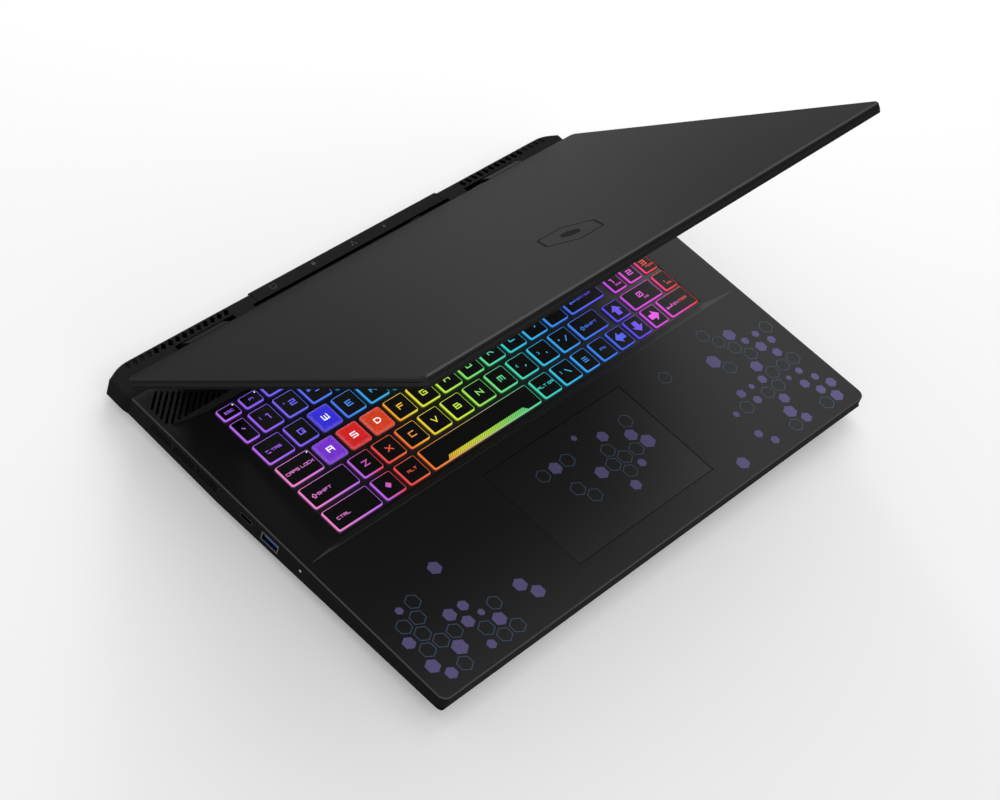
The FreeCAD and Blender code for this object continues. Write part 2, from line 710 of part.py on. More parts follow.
rearFootY = rear - rearFootFromRear
rearFootLength = baseWidth - rearFootFromSide * 2
frontFootY = front + frontUndercut + footWidth
frontFootX = right - frontFootFromSide - frontFootLength
feet = [box(-rearFootLength / 2, rearFootY, 0, rearFootLength, footWidth, footHeight),
        box(frontFootX, frontFootY, 0, frontFootLength, footWidth, footHeight),
        box(-frontFootX - frontFootLength, frontFootY, 0, frontFootLength, footWidth, footHeight)]
node(group(feet), "rubber_feet")

# Keyboard plate and touchpad carrier, both hung under the deck
plateBase = box(fieldLeft - plateRim, fieldFront - plateRim, plateTop - plateThickness, fieldWidth + plateRim * 2,
                fieldDepth + plateRim * 2, deckUnder - plateTop + plateThickness)
plateCut = box(fieldLeft, fieldFront, plateTop, fieldWidth, fieldDepth, deckUnder - plateTop + 1)
node(cut(plateBase, [plateCut]), "keyboard_plate")

padBottom = padTop - padThickness
carrierTop = padBottom - padTravelRoom
railHeight = deckUnder - carrierTop + bracketPlate
carrier = [box(padLeft - padClearance - bracketRail, padFront + padDepth * 0.15, carrierTop - bracketPlate,
               padWidth + (padClearance + bracketRail) * 2, padDepth * 0.7, bracketPlate),
           box(padLeft - padClearance - bracketRail, padFront, carrierTop - bracketPlate, bracketRail, padDepth,
               railHeight),
           box(padLeft + padWidth + padClearance, padFront, carrierTop - bracketPlate, bracketRail, padDepth,
               railHeight)]
pivotY = padFront + padDepth - pivotFromEdge
pivotX = padLeft + padWidth / 2 - pivotLength / 2
carrier.append(box(padLeft - padClearance - bracketRail, pivotY - pivotShelf / 2, carrierTop - bracketPlate,
                   padWidth + (padClearance + bracketRail) * 2, pivotShelf,
                   padTravelRoom - pivotRadius - pivotClearance + bracketPlate))
node(fuse(carrier), "touchpad_carrier")
node(fuse([box(padLeft, padFront, padBottom, padWidth, padDepth, padThickness),
           alongX(pivotX, pivotY, padBottom, pivotRadius, pivotLength)]), "touchpad")


# Key caps: each one tapers a little towards its top
def keyCap(column, row, wide, deep=1.0):
    part = doc.addObject("Part::Wedge", "key")
    width = keyColumn * wide - keyGap
    depth = keyPitch * deep - keyGap
    bind(part, Xmin=0, Ymin=0, Zmin=0, X2min=keyTaper, Z2min=keyTaper, Xmax=width, Ymax=keyHeight, Zmax=depth,
         X2max=width - keyTaper, Z2max=depth - keyTaper)
    return at(part, keysLeft + keyColumn * column, keysFront + keyPitch * row + depth, keyBottom, (1, 0, 0), 90)


def keyRow(row, start, widths, deep=1.0):
    caps = []
    for wide in widths:
        caps.append(keyCap(start, row, wide, deep))
        start = start + wide
    return caps


bottomRow = keyRow(0, 0, [2, 1, 1.04, 5.02, 0.98, 1, 0.84, 0.88, 0.87, 0.87, 0.85, 1.52])
lowerRow = keyRow(1, 0, [2.02] + [1] * 10 + [1.4])
homeRow = keyRow(2, 0, [1.5] + [1] * 11 + [1.78])
upperRow = keyRow(3, 0, [1.24] + [1] * 12 + [1.04])
numberRow = keyRow(4, 0, [0.73] + [1] * 12 + [1.55])
functionRow = keyRow(4.975, 0, [0.89] + [0.8925] * 15, 0.64)
padRow = 0.925
numpad = keyRow(padRow, 14.48, [1.6, 0.79], padRow)
for row in range(2, 5):
    numpad += keyRow(padRow * row, 14.48, [0.8, 0.8, 0.79], padRow)
numpad += keyRow(padRow * 5, 14.48, [0.8, 0.8, 0.79], 0.99)
node(upperRow.pop(2), "key_w")
node(homeRow.pop(3), "key_d")
node(homeRow.pop(2), "key_s")
node(homeRow.pop(1), "key_a")
node(homeRow.pop(), "key_enter")
node(keyCap(13.55, padRow, 0.9, padRow), "key_arrow_up")
node(bottomRow.pop(10), "key_arrow_right")
node(bottomRow.pop(9), "key_arrow_down")
node(bottomRow.pop(8), "key_arrow_left")
node(bottomRow.pop(3), "key_space")
numpad.append(bottomRow.pop())
node(group(bottomRow), "keys_bottom_row")
node(group(lowerRow), "keys_lower_row")
node(group(homeRow), "keys_home_row")
node(group(upperRow), "keys_upper_row")
node(group(numberRow), "keys_number_row")
node(group(functionRow), "keys_function_row")
node(group(numpad), "keys_numpad")

# Main board with its two chips, and the cards on it
coldY = rear - coldPlateFromRear
board = box(-boardHalf, boardFront, boardBottom, boardHalf * 2, boardRear - boardFront, boardThickness)
chipSide = size("chipSide", 30)
chipMiddle = coldY + coldPlateDepth / 2
chips = [box(coldPlateWidth / 4 * side - chipSide / 2, chipMiddle - chipSide / 2, boardTop - boardThickness / 2, chipSide,
             chipSide, chipHeight + boardThickness / 2) for side in (-1, 1)]
node(fuse([board] + chips), "motherboard")
cardThickness = size("cardThickness", 0.8)
cardChip = size("cardChip", 1)
cardEdge = size("cardEdge", 6)


def card(x, y, length, width, chipCount, turned=False):
    parts = [box(x, y, boardTop, width if turned else length, length if turned else width, cardThickness)]
    step = length / chipCount
    for i in range(chipCount):
        along = step * (i + 0.2)
        across = width * 0.2
        chip = (across, along, width * 0.6, step * 0.6) if turned else (along, across, step * 0.6, width * 0.6)
        parts.append(box(x + chip[0], y + chip[1], boardTop + cardThickness / 2, chip[2], chip[3],
                         cardThickness / 2 + cardChip))
    return fuse(parts)


ssdLength = size("ssdLength", 80)
ssdWidth = size("ssdWidth", 22)
memoryLength = size("memoryLength", 69.6)
memoryWidth = size("memoryWidth", 30)
radioLength = size("radioLength", 30)
ssdFromColdPlate = size("ssdFromColdPlate", 36)
node(card(boardHalf - cardEdge - ssdWidth, coldY - ssdFromColdPlate, ssdLength, ssdWidth, 4, turned=True),
     "solid_state_drive")
node(card(-boardHalf + cardEdge, boardFront + cardEdge, memoryLength, memoryWidth, 4), "memory_module")
node(card(-boardHalf + cardEdge, coldY + coldPlateDepth + cardEdge, radioLength, ssdWidth, 2), "wireless_card")

# Cooling: two blowers, two fin stacks and the pipes that join them to the cold plate
finY = rear - finFromRear
for side, word in ((-1, "left"), (1, "right")):
    x = fanX * side
    housing = box(x - fanSide / 2, fanY - fanSide / 2, floorTop, fanSide, fanSide, fanHeight)
    chamber = fuse([cylinder(x, fanY, floorTop + fanWall, fanChamber, fanHeight - fanWall * 2),
                    box(x - fanChamber * 0.9, fanY, floorTop + fanWall, fanChamber * 1.8, fanSide,
                        fanHeight - fanWall * 2),
                    cylinder(x, fanY, floorTop - 1, fanInlet, fanHeight + 2)])
    frame = [cut(housing, [chamber]),
             box(x - fanInlet - 2, fanY - fanSpoke / 2, floorTop, fanInlet * 2 + 4, fanSpoke, fanWall),
             box(x - fanSpoke / 2, fanY - fanInlet - 2, floorTop, fanSpoke, fanInlet * 2 + 4, fanWall),
             cylinder(x, fanY, floorTop, axleRadius, fanHeight - fanWall)]
    node(fuse(frame), f"{word}_fan_housing")
    rotorHeight = fanHeight - (fanWall + rotorGap) * 2
    rotor = [cylinder(0, 0, 0, hubRadius, rotorHeight)]
    bladeCount = 15
    for i in range(bladeCount):
        blade = box(0, 0, 0, rotorRadius - hubRadius + 2, bladeThickness, rotorHeight)
        angle = 2 * math.pi * i / bladeCount
        at(blade, (hubRadius - 2) * math.cos(angle), (hubRadius - 2) * math.sin(angle), 0, (0, 0, 1),
           360 * i / bladeCount + 24)
        rotor.append(blade)
    spin = cut(fuse(rotor), [cylinder(0, 0, -1, axleRadius + pinClearance, rotorHeight + 2)])
    node(at(spin, x, fanY, floorTop + fanWall + rotorGap), f"{word}_fan_rotor")

    stackX = x - finLength / 2
    fins = [box(stackX, finY, floorTop, finLength, finDepth, finThickness),
            box(stackX, finY, finTop - finThickness, finLength, finDepth, finThickness)]
    finCount = 16
    for i in range(finCount):
        fins.append(box(stackX + (finLength - finThickness) * (i / (finCount - 1)), finY, floorTop, finThickness,
                        finDepth, finTop - floorTop))
    node(fuse(fins), f"{word}_fin_stack")

    node(fuse([box(speakerX * side - (speakerWidth if side < 0 else 0), speakerFront, floorTop, speakerWidth,
                   speakerDepth, speakerHeight),
               cylinder((speakerX + speakerWidth / 2) * side, speakerFront + speakerDepth / 2,
                        floorTop + speakerHeight / 2, driverRadius, speakerHeight / 2 + driverHeight)]),
         f"{word}_speaker")

pipeY = rear - pipeFromRear
pipeEnd = size("pipeEnd", 4)
pipeHalf = fanX + finLength / 2 - pipeEnd
pipes = [box(-coldPlateWidth / 2, coldY, finTop, coldPlateWidth, coldPlateDepth, coldPlateHeight),
         box(-pipeHalf, pipeY, finTop, pipeHalf * 2, pipeWidth, pipeHeight)]
for side in (-1, 1):
    pipes.append(box(coldPlateWidth / 4 * side - pipeWidth / 2, coldY + pipeEnd, finTop, pipeWidth,
                     pipeY - coldY + pipeWidth / 2 - pipeEnd, pipeHeight))
node(fuse(pipes), "heat_pipes")

batteryY = front + batteryFromFront
batteryWidth = (speakerX - batterySpeakerGap) * 2
cellCount = 4
cells = [box(-batteryWidth / 2, batteryY, floorTop, batteryWidth, batteryDepth, batteryTray)]
cellWidth = (batteryWidth - cellGap * (cellCount + 1)) / cellCount
for i in range(cellCount):
    cells.append(box((cellWidth + cellGap) * i + cellGap - batteryWidth / 2, batteryY + cellGap, floorTop, cellWidth,
                     batteryDepth - cellGap * 2, batteryHeight))
node(fuse(cells), "battery_pack")


# Ports: metal shells on their boards, open at the wall
def port(x, y, z, turn, width, height, depth, tongue, riser=0):
    outer = box(0, -width / 2 - portWall, 0, depth + portWall, width + portWall * 2, height + portWall * 2)
    inner = box(-1, -width / 2, portWall, depth + 1, width, height)
    shell = cut(outer, [inner])
    parts = [shell]
    if tongue:
        parts.append(box(depth * 0.12, -width * 0.42, portWall + height / 2 - tongue / 2, depth * 0.88 + portWall / 2,
                         width * 0.84, tongue))
    if riser:
        parts.append(box(wallThickness + portClearance * 2, -width / 2, -riser, depth - wallThickness - portClearance * 2,
                         width, riser + portWall / 2))
    joined = fuse(parts) if len(parts) > 1 else shell
    return at(joined, x, y, z, (0, 0, 1), turn)


def roundPort(x, y, z, turn, bore, nose, noseLength, side, depth):
    body = fuse([box(noseLength, -side / 2, -side / 2, depth - noseLength, side, side),
                 alongX(0, 0, 0, nose, noseLength + 1)])
    return at(cut(body, [alongX(-1, 0, 0, bore, depth)]), x, y, z, (0, 0, 1), turn)


node(port(left, usbSmallY, usbSmallZ, 0, usbSmallWidth, usbSmallHeight, usbSmallDepth, usbSmallTongue, usbSmallLift),
     "left_usb_c_port")
node(port(left, usbLeftY, portBoardTop, 0, usbWidth, usbHeight, usbDepth, usbTongue), "left_usb_a_port")
node(port(right, usbRightY, portBoardTop, 180, usbWidth, usbHeight, usbDepth, usbTongue), "right_usb_a_port")
node(port(right, networkY, portBoardTop, 180, networkWidth, networkHeight, networkDepth, None), "network_port")
node(port(videoX, rear, videoZ, -90, videoWidth, videoHeight, videoDepth, videoTongue), "video_port")
node(roundPort(right, jackY, jackZ, 180, jackBore, jackNose, wallThickness + portClearance, jackSide, jackDepth),
     "audio_jack")
node(roundPort(inletX, rear, inletZ, -90, inletBore, inletNose, wallThickness + rearStep + portClearance, inletSide,
               inletDepth), "power_inlet")
for side, word in ((-1, "left"), (1, "right")):
    x = right - portBoardGap - portBoardWidth if side > 0 else left + portBoardGap
    node(box(x, portBoardFront, boardBottom, portBoardWidth, portBoardRear - portBoardFront, portBoardThickness),
         f"{word}_port_board")


# Lid pieces stand in the hinge frame: shut, with the axis as origin, then swung open
def swing(part):
    return at(part, 0, hingeY, hingeZ, (1, 0, 0), -lidRestAngle)


lidLength = hingeY - front + lidOverhang - lidSetback
lidFront = -lidSetback - lidLength
lidOutline = [rectangle(left, lidFront, baseWidth, lidLength)]
coverBody = newBody("lid_cover_body")
pad(coverBody, sketch(coverBody, "XY_Plane", lidOutline, bezelThickness), lidThickness - bezelThickness)
dress(coverBody, "Fillet", lambda a, b, e: upright(a, b) and near(a.y, lidFront.value), "Radius", lidFrontRadius)
dress(coverBody, "Fillet", lambda a, b, e: upright(a, b) and near(a.y, -lidSetback.value), "Radius", lidRearRadius)
dress(coverBody, "Chamfer", lambda a, b, e: near(a.z, lidThickness.value) and near(b.z, lidThickness.value),
      "Size", lidEdgeBreak)
cornerPad = lidRearRadius * 0.3
cavityLeft = left + lidWall
cavityFront = lidFront + lidWall
cavityRear = -lidSetback - lidWall
cavity = [(cavityLeft, cavityFront), (-cavityLeft, cavityFront), (-cavityLeft, cavityRear - cornerPad),
          (-cavityLeft - cornerPad, cavityRear), (cavityLeft + cornerPad, cavityRear),
          (cavityLeft, cavityRear - cornerPad)]
pocket(coverBody, sketch(coverBody, "XY_Plane", [cavity], bezelThickness), lidThickness - bezelThickness - lidSkin,
       upward=True)
leafTop = lidThickness - lidSkin
leafInset = lobeWall + leafClearance
grooveZ = lidThickness - lidGrooveFromTop
notches = [box(left - 1, lidFront - 1, grooveZ, lidGrooveDepth + 1, lidLength + 2, lidGrooveWidth),
           box(right - lidGrooveDepth, lidFront - 1, grooveZ, lidGrooveDepth + 1, lidLength + 2, lidGrooveWidth),
           box(left - 1, lidFront - 1, grooveZ, baseWidth + 2, lidGrooveDepth + 1, lidGrooveWidth)]
for side in (-1, 1):
    x = lobeStart if side > 0 else -lobeStart - lobeLength
    notches.append(box(x + lobeWall, -lidSetback - lidWall - 1, bezelThickness, lobeLength - lobeWall * 2, lidWall + 2,
                       leafTop - bezelThickness))
node(swing(cut(coverBody, notches)), "lid_back_cover")

bezelBody = newBody("bezel_body")
bezelOutline = rectangle(left + bezelInset, lidFront + bezelInset, baseWidth - bezelInset * 2,
                         lidLength - bezelInset * 2)
pad(bezelBody, sketch(bezelBody, "XY_Plane", [bezelOutline]), bezelThickness)
dress(bezelBody, "Fillet", lambda a, b, e: upright(a, b) and near(a.y, (lidFront + bezelInset).value),
      "Radius", lidFrontRadius - bezelInset)
dress(bezelBody, "Fillet", lambda a, b, e: upright(a, b) and near(a.y, (-lidSetback - bezelInset).value),
      "Radius", lidRearRadius - bezelInset)
windowDepth = lidLength - bezelTop - bezelChin
window = rectangle(left + bezelSide, lidFront + bezelTop, baseWidth - bezelSide * 2, windowDepth)
pocket(bezelBody, sketch(bezelBody, "XY_Plane", [window]), bezelThickness, upward=True)
cameraY = lidFront + lidWall + cameraWidth / 2 + cameraClearance
node(swing(cut(bezelBody, [cylinder(0, cameraY, -1, lensRadius + lensClearance, bezelThickness + 2)])), "display_bezel")
panelFront = lidFront + bezelTop - panelLap
panel = [box(left + bezelSide - panelLap, panelFront, bezelThickness, baseWidth - (bezelSide - panelLap) * 2,
             windowDepth + panelLap * 2, panelThickness),
         box(-panelBoardLength / 2, panelFront + windowDepth + panelLap * 2 - 1, bezelThickness, panelBoardLength,
             panelBoardWidth + 1, panelThickness / 2)]
node(swing(fuse(panel)), "display_panel")
camera = fuse([box(-cameraLength / 2, cameraY - cameraWidth / 2, bezelThickness, cameraLength, cameraWidth, cameraHeight),
               cylinder(0, cameraY, cameraClearance, lensRadius, bezelThickness)])
node(swing(camera), "webcam_module")
bumperX = right - bumperFromSide
bumpers = []
for x in (-bumperX, asSize(0), bumperX):
    bumpers.append(box(x - bumperLength / 2, lidFront + bezelTop - bumperWidth - bumperFromWindow, -bumperHeight, bumperLength,
                       bumperWidth, bumperHeight))
node(swing(group(bumpers)), "lid_bumpers")

# Hinges: lobe covers and steel leaves with pins on the lid, knuckles on the base
for side, word in ((-1, "left"), (1, "right")):
    x = lobeStart if side > 0 else -lobeStart - lobeLength
    lobe = fuse([alongX(x, 0, 0, lidThickness, lobeLength),
                 box(x, -lidSetback, 0, lobeLength, lidSetback, lidThickness)])
    hollowX = x + lobeWall
    hollowLength = lobeLength - lobeWall * 2
    core = fuse([alongX(hollowX, 0, 0, lidThickness - lobeWall, hollowLength),
                 box(hollowX, -lidSetback - 1, bezelThickness, hollowLength, lidSetback + 1, leafTop - bezelThickness)])
    holeX = lobeStart - 1 if side > 0 else -lobeStart - 1 - lobeWall
    hole = alongX(holeX, 0, 0, pinRadius + lobeHoleClearance, lobeWall + 2)
    node(swing(cut(lobe, [fuse([core, hole])])), f"{word}_hinge_cap")

    leafX = x + leafInset
    leafWidth = lobeLength - leafInset * 2
    pinLength = knuckleLength + knuckleGap + leafInset + pinGrip
    pinX = lobeStart + leafInset + pinGrip - pinLength if side > 0 else -lobeStart - leafInset - pinGrip
    leaf = [box(leafX, -leafLength, leafTop - leafThickness, leafWidth, leafLength, leafThickness),
            alongX(leafX, 0, 0, lidThickness - lobeWall - leafClearance, leafWidth), alongX(pinX, 0, 0, pinRadius, pinLength)]
    node(swing(fuse(leaf)), f"{word}_hinge_leaf")

    ringX = lobeStart - knuckleGap - knuckleLength if side > 0 else -lobeStart + knuckleGap
    plateX = ringX + knuckleLength - bracketLength if side > 0 else ringX
    bracket = fuse([alongX(ringX, hingeY, hingeZ, knuckleRadius, knuckleLength),
                    box(plateX, hingeY - knuckleRadius, deckUnder - bracketThickness, bracketLength, knuckleRadius * 2,
                        bracketThickness),
                    box(ringX, hingeY - knuckleRadius * 0.7, deckUnder - bracketThickness, knuckleLength,
                        knuckleRadius * 1.4, hingeZ - deckUnder + bracketThickness)])
    node(cut(bracket, [alongX(ringX - 1, hingeY, hingeZ, pinRadius + pinClearance, knuckleLength + 2)]),
         f"{word}_hinge_bracket")

doc.recompute()

# Nothing is written unless every object is sound
for part in doc.Objects:
    if "Invalid" in part.State or "Error" in part.State:
        raise RuntimeError(f"{part.Name} {part.Label} is not sound: {part.State}")
for part in nodes:
    if part.Shape.isNull() or not part.Shape.isValid() or not part.Shape.Solids:
        raise RuntimeError(f"{part.Label} has no valid shape")
os.makedirs("parts", exist_ok=True)
for part in nodes:
    part.Shape.exportStep(f"parts/{part.Label}.step")
    print(part.Label, len(part.Shape.Solids), round(part.Shape.Volume))
print(len(nodes), "nodes")
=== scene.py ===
import math
import random

import bmesh
import bpy
from mathutils import Matrix, Vector


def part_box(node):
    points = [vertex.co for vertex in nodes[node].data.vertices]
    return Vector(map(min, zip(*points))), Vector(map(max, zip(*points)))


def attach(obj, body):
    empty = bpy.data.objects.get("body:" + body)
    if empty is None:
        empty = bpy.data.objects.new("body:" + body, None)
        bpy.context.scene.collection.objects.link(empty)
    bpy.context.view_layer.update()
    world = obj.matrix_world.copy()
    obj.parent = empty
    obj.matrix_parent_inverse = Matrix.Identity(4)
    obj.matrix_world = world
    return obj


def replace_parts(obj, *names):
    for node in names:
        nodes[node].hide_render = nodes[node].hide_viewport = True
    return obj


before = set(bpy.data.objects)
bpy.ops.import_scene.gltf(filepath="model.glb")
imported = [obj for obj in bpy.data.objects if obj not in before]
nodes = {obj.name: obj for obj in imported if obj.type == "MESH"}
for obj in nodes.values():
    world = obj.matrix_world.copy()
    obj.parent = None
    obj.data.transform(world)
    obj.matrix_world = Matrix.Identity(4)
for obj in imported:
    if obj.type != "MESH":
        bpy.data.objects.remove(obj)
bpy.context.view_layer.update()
mm = 0.001
scene = bpy.context.scene
sides = (("left", -1), ("right", 1))
print("frame loaded:", len(nodes), "nodes")


# Colour and node helpers
def hexColour(text):
    channels = [int(text[i:i + 2], 16) / 255 for i in (1, 3, 5)]
    return [c / 12.92 if c <= 0.04045 else ((c + 0.055) / 1.055) ** 2.4 for c in channels] + [1.0]


def addNode(tree, kind, settings=None, inputs=None):
    node = tree.nodes.new(kind)
    for name, value in (settings or {}).items():
        setattr(node, name, value)
    for key, value in (inputs or {}).items():
        if isinstance(value, bpy.types.NodeSocket):
            tree.links.new(value, node.inputs[key])
        else:
            node.inputs[key].default_value = value
    return node


def newMaterial(name, shader):
    material = bpy.data.materials.new(name)
    material.use_nodes = True
    tree = material.node_tree
    tree.nodes.clear()
    principled = addNode(tree, "ShaderNodeBsdfPrincipled", None, shader)
    addNode(tree, "ShaderNodeOutputMaterial", None, {"Surface": principled.outputs[0]})
    return material, tree, principled


# How the grain of a face is drawn, and the slopes between which a broken edge turns into a wall
grain = {"detail": 3.0, "contrast": 0.6, "low": 0.3, "high": 0.7, "bump": 0.5,
         "wallFrom": 0.3, "wallTo": 0.12}


def grainedMaterial(name, dark, light, roughness, spread, grainSize, bumpDepth, shader, edge=None):
    # one noise of the grain's own size, in mm, drives colour, roughness and bump together
    material, tree, principled = newMaterial(name, shader)
    place = addNode(tree, "ShaderNodeTexCoord")
    noise = addNode(tree, "ShaderNodeTexNoise", None,
                    {"Vector": place.outputs["Object"], "Scale": 1 / (grainSize * mm),
                     "Detail": grain["detail"], "Roughness": grain["contrast"]}).outputs["Fac"]
    tone = addNode(tree, "ShaderNodeMix", {"data_type": "RGBA"},
                   {"Factor": noise, "A": hexColour(dark), "B": hexColour(light)}).outputs["Result"]
    rough = addNode(tree, "ShaderNodeMapRange", None,
                    {"Value": noise, "From Min": grain["low"], "From Max": grain["high"],
                     "To Min": roughness - spread, "To Max": roughness + spread}).outputs["Result"]
    if edge:
        # the broken edges round the flat face get a lighter tone, a painted highlight, and the walls beyond
        # them a tone that is painted light too: painted shade where it is darker, painted highlight where it
        # is lighter
        slope = addNode(tree, "ShaderNodeVectorMath", {"operation": "DOT_PRODUCT"},
                        {0: place.outputs["Normal"], 1: edge["face"]}).outputs["Value"]
        flat = addNode(tree, "ShaderNodeMapRange", None,
                       {"Value": slope, "From Min": edge["flatFrom"],
                        "From Max": edge["flatTo"]}).outputs["Result"]
        wall = addNode(tree, "ShaderNodeMapRange", None,
                       {"Value": slope, "From Min": grain["wallFrom"],
                        "From Max": grain["wallTo"]}).outputs["Result"]
        # painted highlight: the lighter line tone laid on the broken edges
        tone = addNode(tree, "ShaderNodeMix", {"data_type": "RGBA"},
                       {"Factor": flat, "A": hexColour(edge["line"]), "B": tone}).outputs["Result"]
        # painted light on the walls: the wall tone darkens them as shade, or lightens them as a highlight
        tone = addNode(tree, "ShaderNodeMix", {"data_type": "RGBA"},
                       {"Factor": wall, "A": tone, "B": hexColour(edge["wall"])}).outputs["Result"]
        rough = addNode(tree, "ShaderNodeMix", {"data_type": "FLOAT"},
                        {"Factor": wall, "A": rough, "B": edge["wallRoughness"]}).outputs["Result"]
    bump = addNode(tree, "ShaderNodeBump", None,
                   {"Height": noise, "Strength": grain["bump"], "Distance": bumpDepth * mm})
    tree.links.new(tone, principled.inputs["Base Color"])
    tree.links.new(rough, principled.inputs["Roughness"])
    tree.links.new(bump.outputs["Normal"], principled.inputs["Normal"])
    return material


# The lid's own axes at rest: it is built closed and stands open by this angle about the hinge line
lid = {"hinge": (122.0, 20.5), "angle": 44.0, "thickness": 6.5}
lidTurn = Matrix.Translation((0, lid["hinge"][0] * mm, lid["hinge"][1] * mm)) @ Matrix.Rotation(
    -math.radians(lid["angle"]), 4, "X")
lidFace = lidTurn.to_3x3() @ Vector((0, 0, 1))

# Materials: dark and light tone, roughness and its spread, grain size and bump depth in mm, shader, edges
metal = {"Metallic": 1.0}
gloss = "Specular IOR Level"
# Bead-blasted aluminium, dyed black: a soft broad sheen and almost no colour, with a painted highlight on the
# chamfer and a lighter painted highlight on the side walls
lidAluminium = grainedMaterial(
    "blastedBlackAluminium", "#212121", "#272727", 0.34, 0.02, 0.9, 0.008,
    {"Metallic": 1.0, "Specular Tint": (0.41, 0.41, 0.41, 1)},
    {"face": lidFace, "flatFrom": 0.9, "flatTo": 0.98, "line": "#3a3a3a", "wall": "#303030",
     "wallRoughness": 0.6})
# Moulded polycarbonate blend under a matte lacquer: dark and low in gloss, with a painted highlight on the
# broken edges, and duller walls that are darker partly as a textured two-tone and partly as painted shade
deckLacquer = grainedMaterial(
    "matteBlackLacquer", "#151515", "#1a1a1a", 0.44, 0.02, 0.8, 0.008, {gloss: 0.25},
    {"face": (0, 0, 1), "flatFrom": 0.945, "flatTo": 0.99, "line": "#424242", "wall": "#060606",
     "wallRoughness": 1.0})
# Spark-textured ABS of the rear block, screen frame and underside: coarser grain, duller, with a painted
# highlight on its broken edges and its walls painted a touch darker as shade
wallPlastic = grainedMaterial(
    "texturedBlackAbs", "#0d0d0d", "#111111", 0.6, 0.04, 1.0, 0.02, {gloss: 0.06},
    {"face": (0, 0, 1), "flatFrom": 0.9, "flatTo": 0.98, "line": "#1d1d1d", "wall": "#0c0c0c",
     "wallRoughness": 0.7})
# Painted ABS of the hinge covers: a little smoother
hingePlastic = grainedMaterial("satinBlackAbs", "#131313", "#171717", 0.42, 0.03, 0.8, 0.008, {gloss: 0.002})
# Silky coated ABS of the key tops: the darkest of the flat faces
keyTopPaint = grainedMaterial("coatedBlackAbs", "#080808", "#0c0c0c", 0.5, 0.05, 0.5, 0.008, {gloss: 0.25})
# Etched mylar on the touchpad: as dark as the deck, a touch smoother
padMylar = grainedMaterial("etchedBlackMylar", "#181818", "#1c1c1c", 0.42, 0.02, 0.6, 0.005, {gloss: 0.28})
# Moulded rubber of feet and bumpers: dull, with a pitted skin
footRubber = grainedMaterial("mouldedBlackRubber", "#101010", "#171717", 0.8, 0.05, 0.8, 0.05, {gloss: 0.3})
# Blackened steel of hinge brackets, leaves and screws: a dark metal glint
blackSteel = grainedMaterial("blackenedSteel", "#242425", "#2d2d2f", 0.38, 0.05, 0.6, 0.008, metal)
# Painted steel sheet under the keys and the touchpad: even and satin
sheetSteel = grainedMaterial("paintedSteelSheet", "#181818", "#1d1d1d", 0.46, 0.04, 0.9, 0.01, {gloss: 0.3})
# Satin lacquer on the web between the keys, with more sheen than the deck
webPaint = grainedMaterial("webBlackLacquer", "#1c1c1c", "#212121", 0.44, 0.02, 0.8, 0.008, {gloss: 0.65})
# Nickel-plated stamped steel of the sockets: pale and bright
portNickel = grainedMaterial("stampedNickel", "#77777a", "#87878a", 0.3, 0.04, 0.6, 0.005, metal)
# Black-nickel finish of the small socket: as bright, but dark
blackNickel = grainedMaterial("blackNickel", "#2c2c2e", "#363638", 0.35, 0.04, 0.6, 0.005, metal)
# Glass-filled plastic of round sockets, fans and speakers: dull and faintly mottled
mouldedNylon = grainedMaterial("glassFilledNylon", "#0e0e0f", "#161617", 0.6, 0.05, 0.7, 0.02, {gloss: 0.3})
# Blue-dyed nylon of the tongue in each wide socket: a strong blue, half gloss
blueNylon = grainedMaterial("blueNylon", "#184a9c", "#205ab4", 0.4, 0.04, 0.5, 0.005, {})
# Gold flash over the contact strips: thin and bright
goldFlash = grainedMaterial("goldFlash", "#c9a24a", "#d9b45e", 0.25, 0.04, 0.4, 0.003, metal)
# Solder mask over woven glass board: deep green, half gloss
boardMask = grainedMaterial("greenSolderMask", "#0d2a1a", "#123622", 0.4, 0.05, 0.8, 0.012, {})
# Drawn copper, lightly tarnished: brown with a soft shine
drawnCopper = grainedMaterial("drawnCopper", "#b06a45", "#c27d56", 0.35, 0.06, 1.0, 0.008, metal)
# Stamped aluminium foil of the fins, darkened as painted shade so that the slots before it stay dark
finFoil = grainedMaterial("finFoilDarkenedAsShade", "#2b2c2d", "#343536", 0.4, 0.05, 0.8, 0.008, metal)
# Shrink wrap round the battery cells: smooth, with a wavy shine
cellWrap = grainedMaterial("blackShrinkWrap", "#131316", "#1b1b1f", 0.33, 0.04, 2.0, 0.02, {})
# Cover glass of the switched-off screen: black and mirror-like
screenGlass = grainedMaterial("darkCoverGlass", "#040405", "#060607", 0.12, 0.02, 0.6, 0.001,
                              {"Coat Weight": 1.0, "Coat Roughness": 0.05})
# Screen-printed inks on the palm rest: thin and matte
lavenderInk = grainedMaterial("lavenderScreenInk", "#5f5784", "#6d6494", 0.6, 0.04, 0.7, 0.004, {gloss: 0.2})
slateInk = grainedMaterial("slateBlueScreenInk", "#41536a", "#4b5f77", 0.6, 0.04, 0.7, 0.004, {gloss: 0.2})
# Grey pad print of the socket signs: thin and matte
signInk = grainedMaterial("greyPadPrint", "#3c3c3d", "#464647", 0.6, 0.04, 0.5, 0.003, {gloss: 0.2})
# Black enamel in the lid's badge: darker than the metal round it
badgeEnamel = grainedMaterial("blackEnamel", "#030303", "#050505", 0.3, 0.03, 0.8, 0.003, {gloss: 0.0006})
# Clear lenses over white light: at full strength in legends and pinholes, dim in the status light
whiteLight = newMaterial("whiteLightLens", {
    "Base Color": hexColour("#d8d8de"), "Roughness": 0.3, "Emission Color": hexColour("#f6f4ff"),
    "Emission Strength": 0.9})[0]
dimLight = newMaterial("dimLightLens", {
    "Base Color": hexColour("#6a6a70"), "Roughness": 0.3, "Emission Color": hexColour("#f6f4ff"),
    "Emission Strength": 0.22})[0]

